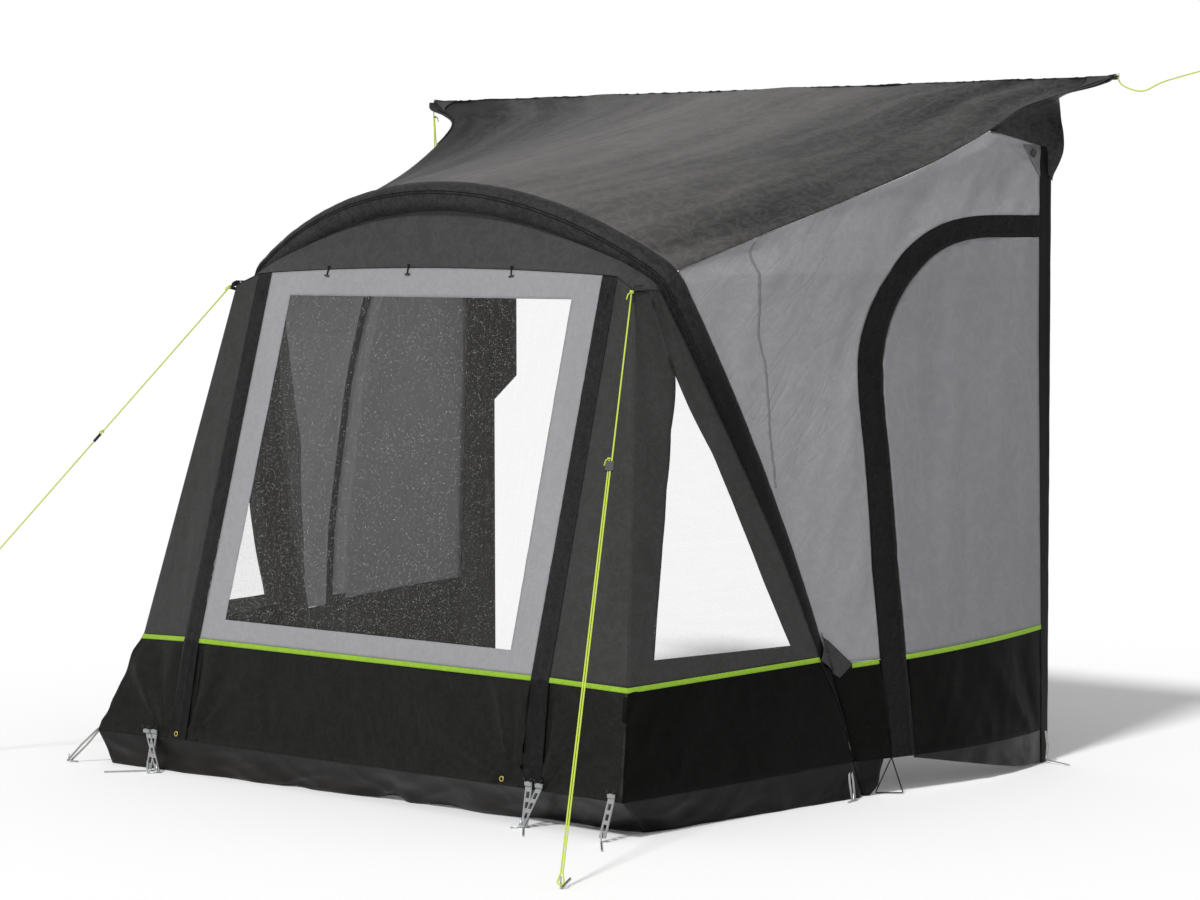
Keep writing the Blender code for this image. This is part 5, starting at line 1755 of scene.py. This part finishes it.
# Small sewn and looped trim
trimSpec = {
    "wallSeam": ((1.330, 1.848), (1.352, 1.80), (1.341, 1.72), (1.329, 1.62), (1.333, 1.54),
                 (1.316, 1.435), (1.340, 1.20), (1.342, 1.04)),
    "seamWidth": 0.008,
    "toggles": (-0.631, -0.136, 0.480), "toggleDrop": 0.026, "toggleBar": 0.011,
    "eyelets": ((0.90, 0.140), (-1.62, 0.138)),
    "eyeletRing": 0.0075, "eyeletWire": 0.0020,
    "crossLadders": (("left", -0.030, 0.050), ("middle", 0.050, -0.008)),
    "cornerStrap": ((-1.205, 2.176, 0.124), (-1.306, 2.232, 0.004)),
    "bayLoop": ((1.268, 1.085, 0.122), (1.318, 1.128, 0.004), 0.011),
    "doorLoop": ((1.318, 0.915, 0.122), (1.352, 0.896, 0.004), (1.282, 0.956, 0.004)),
    "rearStrap": ((1.352, 0.030, 0.112), (1.362, 0.040, 0.012), (1.462, 0.045, 0.004)),
    "strapWidth": 0.0035, "pegRadius": 0.003, "pegShaft": 0.035}


def makeToggles():
    for k, s in enumerate(trimSpec["toggles"]):
        top = frontSkin(s, topEdge(s) + 0.004) + Vector((0, -0.004, 0))
        foot = top + Vector((0.004 * (k - 1), -0.006, -trimSpec["toggleDrop"]))
        name = "windowToggle_" + str(k)
        sweep(name + "_loop", [top, top.lerp(foot, 0.5) + Vector((0, -0.002, 0)), foot], 0.0022,
              "webbing", "awning", sides=6)
        half = Vector((trimSpec["toggleBar"], 0, 0.002 * (k - 1)))
        sweep(name + "_bar", [foot - half, foot, foot + half], [0.0026, 0.0034, 0.0026],
              "blackPlastic", "awning")
        bind = top + Vector((0, 0.001, 0.003))
        block(name + "_tack", bind, (0.012, 0.003, 0.010), "webbing", "awning")


def makeEyelets():
    for k, (s, z) in enumerate(trimSpec["eyelets"]):
        a, b, c = frontSkin(s, z), frontSkin(s + 0.02, z), frontSkin(s, z + 0.02)
        normal = (b - a).cross(c - a).normalized()
        normal = normal if normal.y < 0 else -normal
        side = normal.orthogonal().normalized()
        up = normal.cross(side)
        ring = [a + normal * 0.0066
                + (side * math.cos(turn) + up * math.sin(turn)) * trimSpec["eyeletRing"]
                for turn in steps(20, 0, 2 * math.pi)]
        sweep("eyelet_" + str(k), ring, trimSpec["eyeletWire"], "brass",
              "front_panel" if abs(s) < 1 else "awning", sides=6)


def ladderStrap(name, top, foot, width, thickness):
    # a rubber strap with three openings
    across = Vector((1, 0, 0))
    openings = zones(1, 2, 1, 2, 1, 2, 1)
    shares = (0.0, 0.17, 0.32, 0.42, 0.57, 0.67, 0.82, 1.0)

    def surface(u, v):
        middle = top.lerp(foot, reading(v, tuple(range(8)), shares))
        return middle + across * (reading(u, (0, 1, 2, 3), (-0.5, -0.27, 0.27, 0.5)) * width)

    strap = sheet(name, surface, zones(1, 2, 1), openings, "ladderRubber",
                  sewn=False, cloth=False, thickness=thickness,
                  hole=lambda u, v: 1 < u < 2 and int(v) % 2 == 1)
    edge = strap.modifiers.new("edge", "BEVEL")
    edge.width = 0.0006
    edge.segments = 2
    return strap


def nodeEnd(name, high):
    # middle of a node's highest or lowest end
    points = [v.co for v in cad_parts[name].data.vertices]
    edge = max(p.z for p in points) if high else min(p.z for p in points)
    near = [p for p in points if abs(p.z - edge) < 0.006]
    return sum(near, Vector((0, 0, 0))) / len(near)


def makeBuckle(name, at):
    # black buckle with two horns over the head of a ladder
    block(name, at + Vector((0, -0.004, 0.003)), (0.030, 0.007, 0.014), "ladderRubber", "awning",
          bevel=0.002)
    for side in (-1, 1):
        root = at + Vector((side * 0.010, -0.007, 0.010))
        bend = root + Vector((side * 0.004, -0.002, 0.010))
        tip = bend + Vector((side * 0.006, 0.0, 0.003))
        sweep(name + ("_left" if side < 0 else "_right"), [root, bend, tip],
              [0.0026, 0.0022, 0.0014], "blackPlastic", "awning", sides=6)


def makeGroundPeg(name, tip, heading):
    # steel wire peg that lies on the ground with its arm turned up
    r, run = trimSpec["pegRadius"], Vector((*heading, 0)).normalized()
    start = Vector((tip.x, tip.y, r))
    points = [start + Vector((0, 0, 0.026)), start + Vector((0, 0, 0.006)) + run * 0.0005,
              start + run * 0.006, start + run * trimSpec["pegShaft"]]
    return sweep(name, points, r, "pegSteel", "awning")


def strapPair(names, top, foot, off, shares):
    # two legs of a strap, which bow apart on the way to the peg
    for name, way in zip(names, (-1, 1)):
        line = [end + off * (way * share)
                for end, share in zip((top, top.lerp(foot, 0.5), foot), shares)]
        sweep(name, line, trimSpec["strapWidth"], "greyStrap", "awning", flat=0.45)


def makeHoldDowns():
    for word, topShift, footShift in trimSpec["crossLadders"]:
        top, foot = (nodeEnd("ladder_" + word, high) for high in (True, False))
        ahead = Vector((0, -0.007, 0))
        top += ahead + Vector((topShift, 0, 0))
        foot += ahead + Vector((footShift, 0, 0))
        ladderStrap("crossLadder_" + word, top, foot, 0.024, 0.0035)
        makeGroundPeg("crossPeg_" + word, foot, (-0.5, -0.8))
        makeBuckle("crossBuckle_" + word, top)
    for word in ("left", "middle", "right"):
        makeBuckle("buckle_" + word, nodeEnd("ladder_" + word, True))
    top, foot = (place(*p) for p in trimSpec["cornerStrap"])
    strapPair(("cornerStrap_0", "cornerStrap_1"), top, foot, Vector((0.007, 0.007, 0)),
              (0.4, 1.0, 0.6))
    makeGroundPeg("cornerPeg", foot, (0.6, 0.3))
    for side, word in hands:
        top, foot, half = trimSpec["bayLoop"]
        top, foot = mirrored(place(*top), side), mirrored(place(*foot), side)
        strapPair(("bayLoop_" + word + "0", "bayLoop_" + word + "1"), top, foot,
                  Vector((0, half, 0)), (0.3, 0.9, 0.7))
        makeGroundPeg("bayPeg_" + word, foot, (side * 0.1, -1))
        a, b, c = (mirrored(place(*p), side) for p in trimSpec["doorLoop"])
        sweep("doorLoop_" + word, evenly([a, b, c, a], 60), 0.0022, "webbing", "awning",
              sides=6)
        a, b, c = (mirrored(place(*p), side) for p in trimSpec["rearStrap"])
        bow = a.lerp(b, 0.5) + Vector((side * 0.006, 0, 0))
        sweep("rearStrap_" + word, evenly([a, bow, b], 12), 0.0045, "greyStrap", "awning",
              flat=0.4)
        sweep("rearWire_" + word, evenly([b + Vector((0, 0, 0.012)), b, c], 16), 0.0022,
              "pegSteel", "awning", sides=6)


def makeCornerWings():
    # cloth that the guy line's knot pulls out of the valance's corner
    for side, word in hands:
        tip = mirrored(place(*guySpec["top"]), side) + Vector((0, 0.004, 0))
        roots = [frontSkin(3.62, topEdge(3.62) - 0.010), frontSkin(3.0, topEdge(3.0) + 0.016),
                 valanceSkin(2.86, 0.42)]
        roots = [mirrored(p, side) + Vector((side * 0.002, -0.004, 0)) for p in roots]

        def surface(u, v, roots=roots, tip=tip, side=side):
            edge = onTrack(roots, u)
            end = tip + Vector((0, 0, 0.008 * (u - 0.5)))
            bow = Vector((0, -0.006, 0.004)) * math.sin(math.pi * v)
            return edge.lerp(end, v) + bow

        def folds(a, b, u, v):
            return noise.noise(Vector((u * 7, v * 1.5, 181.0))) * 0.008 * (1 - v) * clamp(v * 5)

        sheet("cornerWing_" + word, surface, steps(20), steps(16), "valanceCloth",
              folds=folds, sewn=False, cloth=False)
        tack = [mirrored(p, side) for p in (legEdge[-8], legEdge[-1], roofSide[2])]
        sweep("shoulderTack_" + word, evenly(tack, 10), [0.0046] * 9 + [0.003, 0.002],
              "sleeveCloth", "awning")


def makeRailEnds():
    low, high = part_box("rail_bead")
    for side, word in hands:
        at = Vector((side * (max(abs(low[0]), abs(high[0])) - 0.004), (low[1] + high[1]) / 2,
                     (low[2] + high[2]) / 2))
        tip = at + Vector((side * 0.010, 0, 0))
        sweep("railStop_" + word, [at - Vector((side * 0.030, 0, 0.002)), at, tip],
              [0.0085, 0.0105, 0.0095], "blackPlastic", "awning", sides=12)
        block("railTag_" + word, tip + Vector((side * 0.002, -0.003, 0.008)),
              (0.010, 0.008, 0.009), "whitePlastic", "awning")

        def patch(u, v, side=side):
            edge = roofSkin(side * blend(0.925, 1.0, u), 0.0)
            return edge.lerp(roofSkin(side * 0.999, 0.052), v * u * 0.98)

        sheet("railPatch_" + word, patch, steps(14), steps(10), "valanceCloth",
              lift=0.0042, sewn=False, cloth=False)


def makeWallSeams():
    line = flatLine(trimSpec["wallSeam"], 90)

    def surface(u, v):
        depth, z = onPairs(line, u)
        return sideSkin(depth + (v - 0.5) * trimSpec["seamWidth"], z)

    def folds(a, b, u, v):
        return wallFolds(a, b, 0.5, 0.5) + noise.noise(Vector((u * 60, v, 171.0))) * 0.0012

    for side, word in hands:
        sheet("wallSeam_" + word, surface, steps(110), steps(4), "seamCloth",
              side=side, chart=sideChart, lift=0.0010, sewn=False, cloth=False,
              thickness=0.0008, folds=folds)


makeToggles()
makeEyelets()
makeHoldDowns()
makeCornerWings()
makeRailEnds()
makeWallSeams()
print("trim made")


# Carried-over parts of the frame
def dressFrame():
    wear = {"ladderRubber": ("ladder_left", "ladder_middle", "ladder_right"),
            "pegSteel": ("peg_left", "peg_middle", "peg_right", "guy_peg_left", "guy_peg_right"),
            "blackPlastic": ("guy_runner_left", "guy_runner_right"),
            "bandCloth": ("guy_tab_left", "guy_tab_right"),
            "zipMetal": ("zip_slider_left", "zip_slider_right"),
            "valvePlastic": ("inflation_valve", "valve_cap"), "beadPlastic": ("rail_bead",)}
    for finish, names in wear.items():
        for name in names:
            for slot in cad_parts[name].material_slots:
                slot.material = finishes[finish]


dressFrame()


# Floor and light
lightSpec = {"sun": 2.3, "sunAngle": 8.0, "world": 0.48, "toward": (0.16, -1.0, 1.2)}


def makeStage():
    bm = bmesh.new()
    bmesh.ops.create_grid(bm, x_segments=2, y_segments=2, size=60)
    mesh = meshOf("floor", bm)
    floor = bpy.data.objects.new("floor", mesh)
    scene.collection.objects.link(floor)
    finish = Finish("floorWhite")
    finish.shade(Base_Color=(1, 1, 1, 1), Roughness=0.9)
    mesh.materials.append(finish.material)


def makeLight():
    # white where the camera looks past the object, also through its clear film
    world = bpy.data.worlds.new("studio")
    scene.world = world
    sky = NodeTree(world)
    white = (1, 1, 1, 1)
    plain = sky.node("Background", None, {"Color": white, "Strength": lightSpec["world"]})
    seen = sky.node("Background", None, {"Color": white, "Strength": 1.0})
    looked = sky.node("LightPath", output="Is Camera Ray")
    passed = sky.node("LightPath", output="Is Transmission Ray")
    both = sky.node("MixShader", None, {0: looked.maths("MAXIMUM", passed), 1: plain, 2: seen})
    sky.node("OutputWorld", None, {"Surface": both})
    sun = bpy.data.lights.new("key", "SUN")
    sun.energy = lightSpec["sun"]
    sun.angle = math.radians(lightSpec["sunAngle"])
    key = bpy.data.objects.new("key", sun)
    scene.collection.objects.link(key)
    toward = Vector(lightSpec["toward"]).normalized()
    key.rotation_euler = toward.to_track_quat("Z", "Y").to_euler()
    scene.view_settings.view_transform = "Standard"


makeStage()
makeLight()
print("flat sizes:", json.dumps(flatSizes))
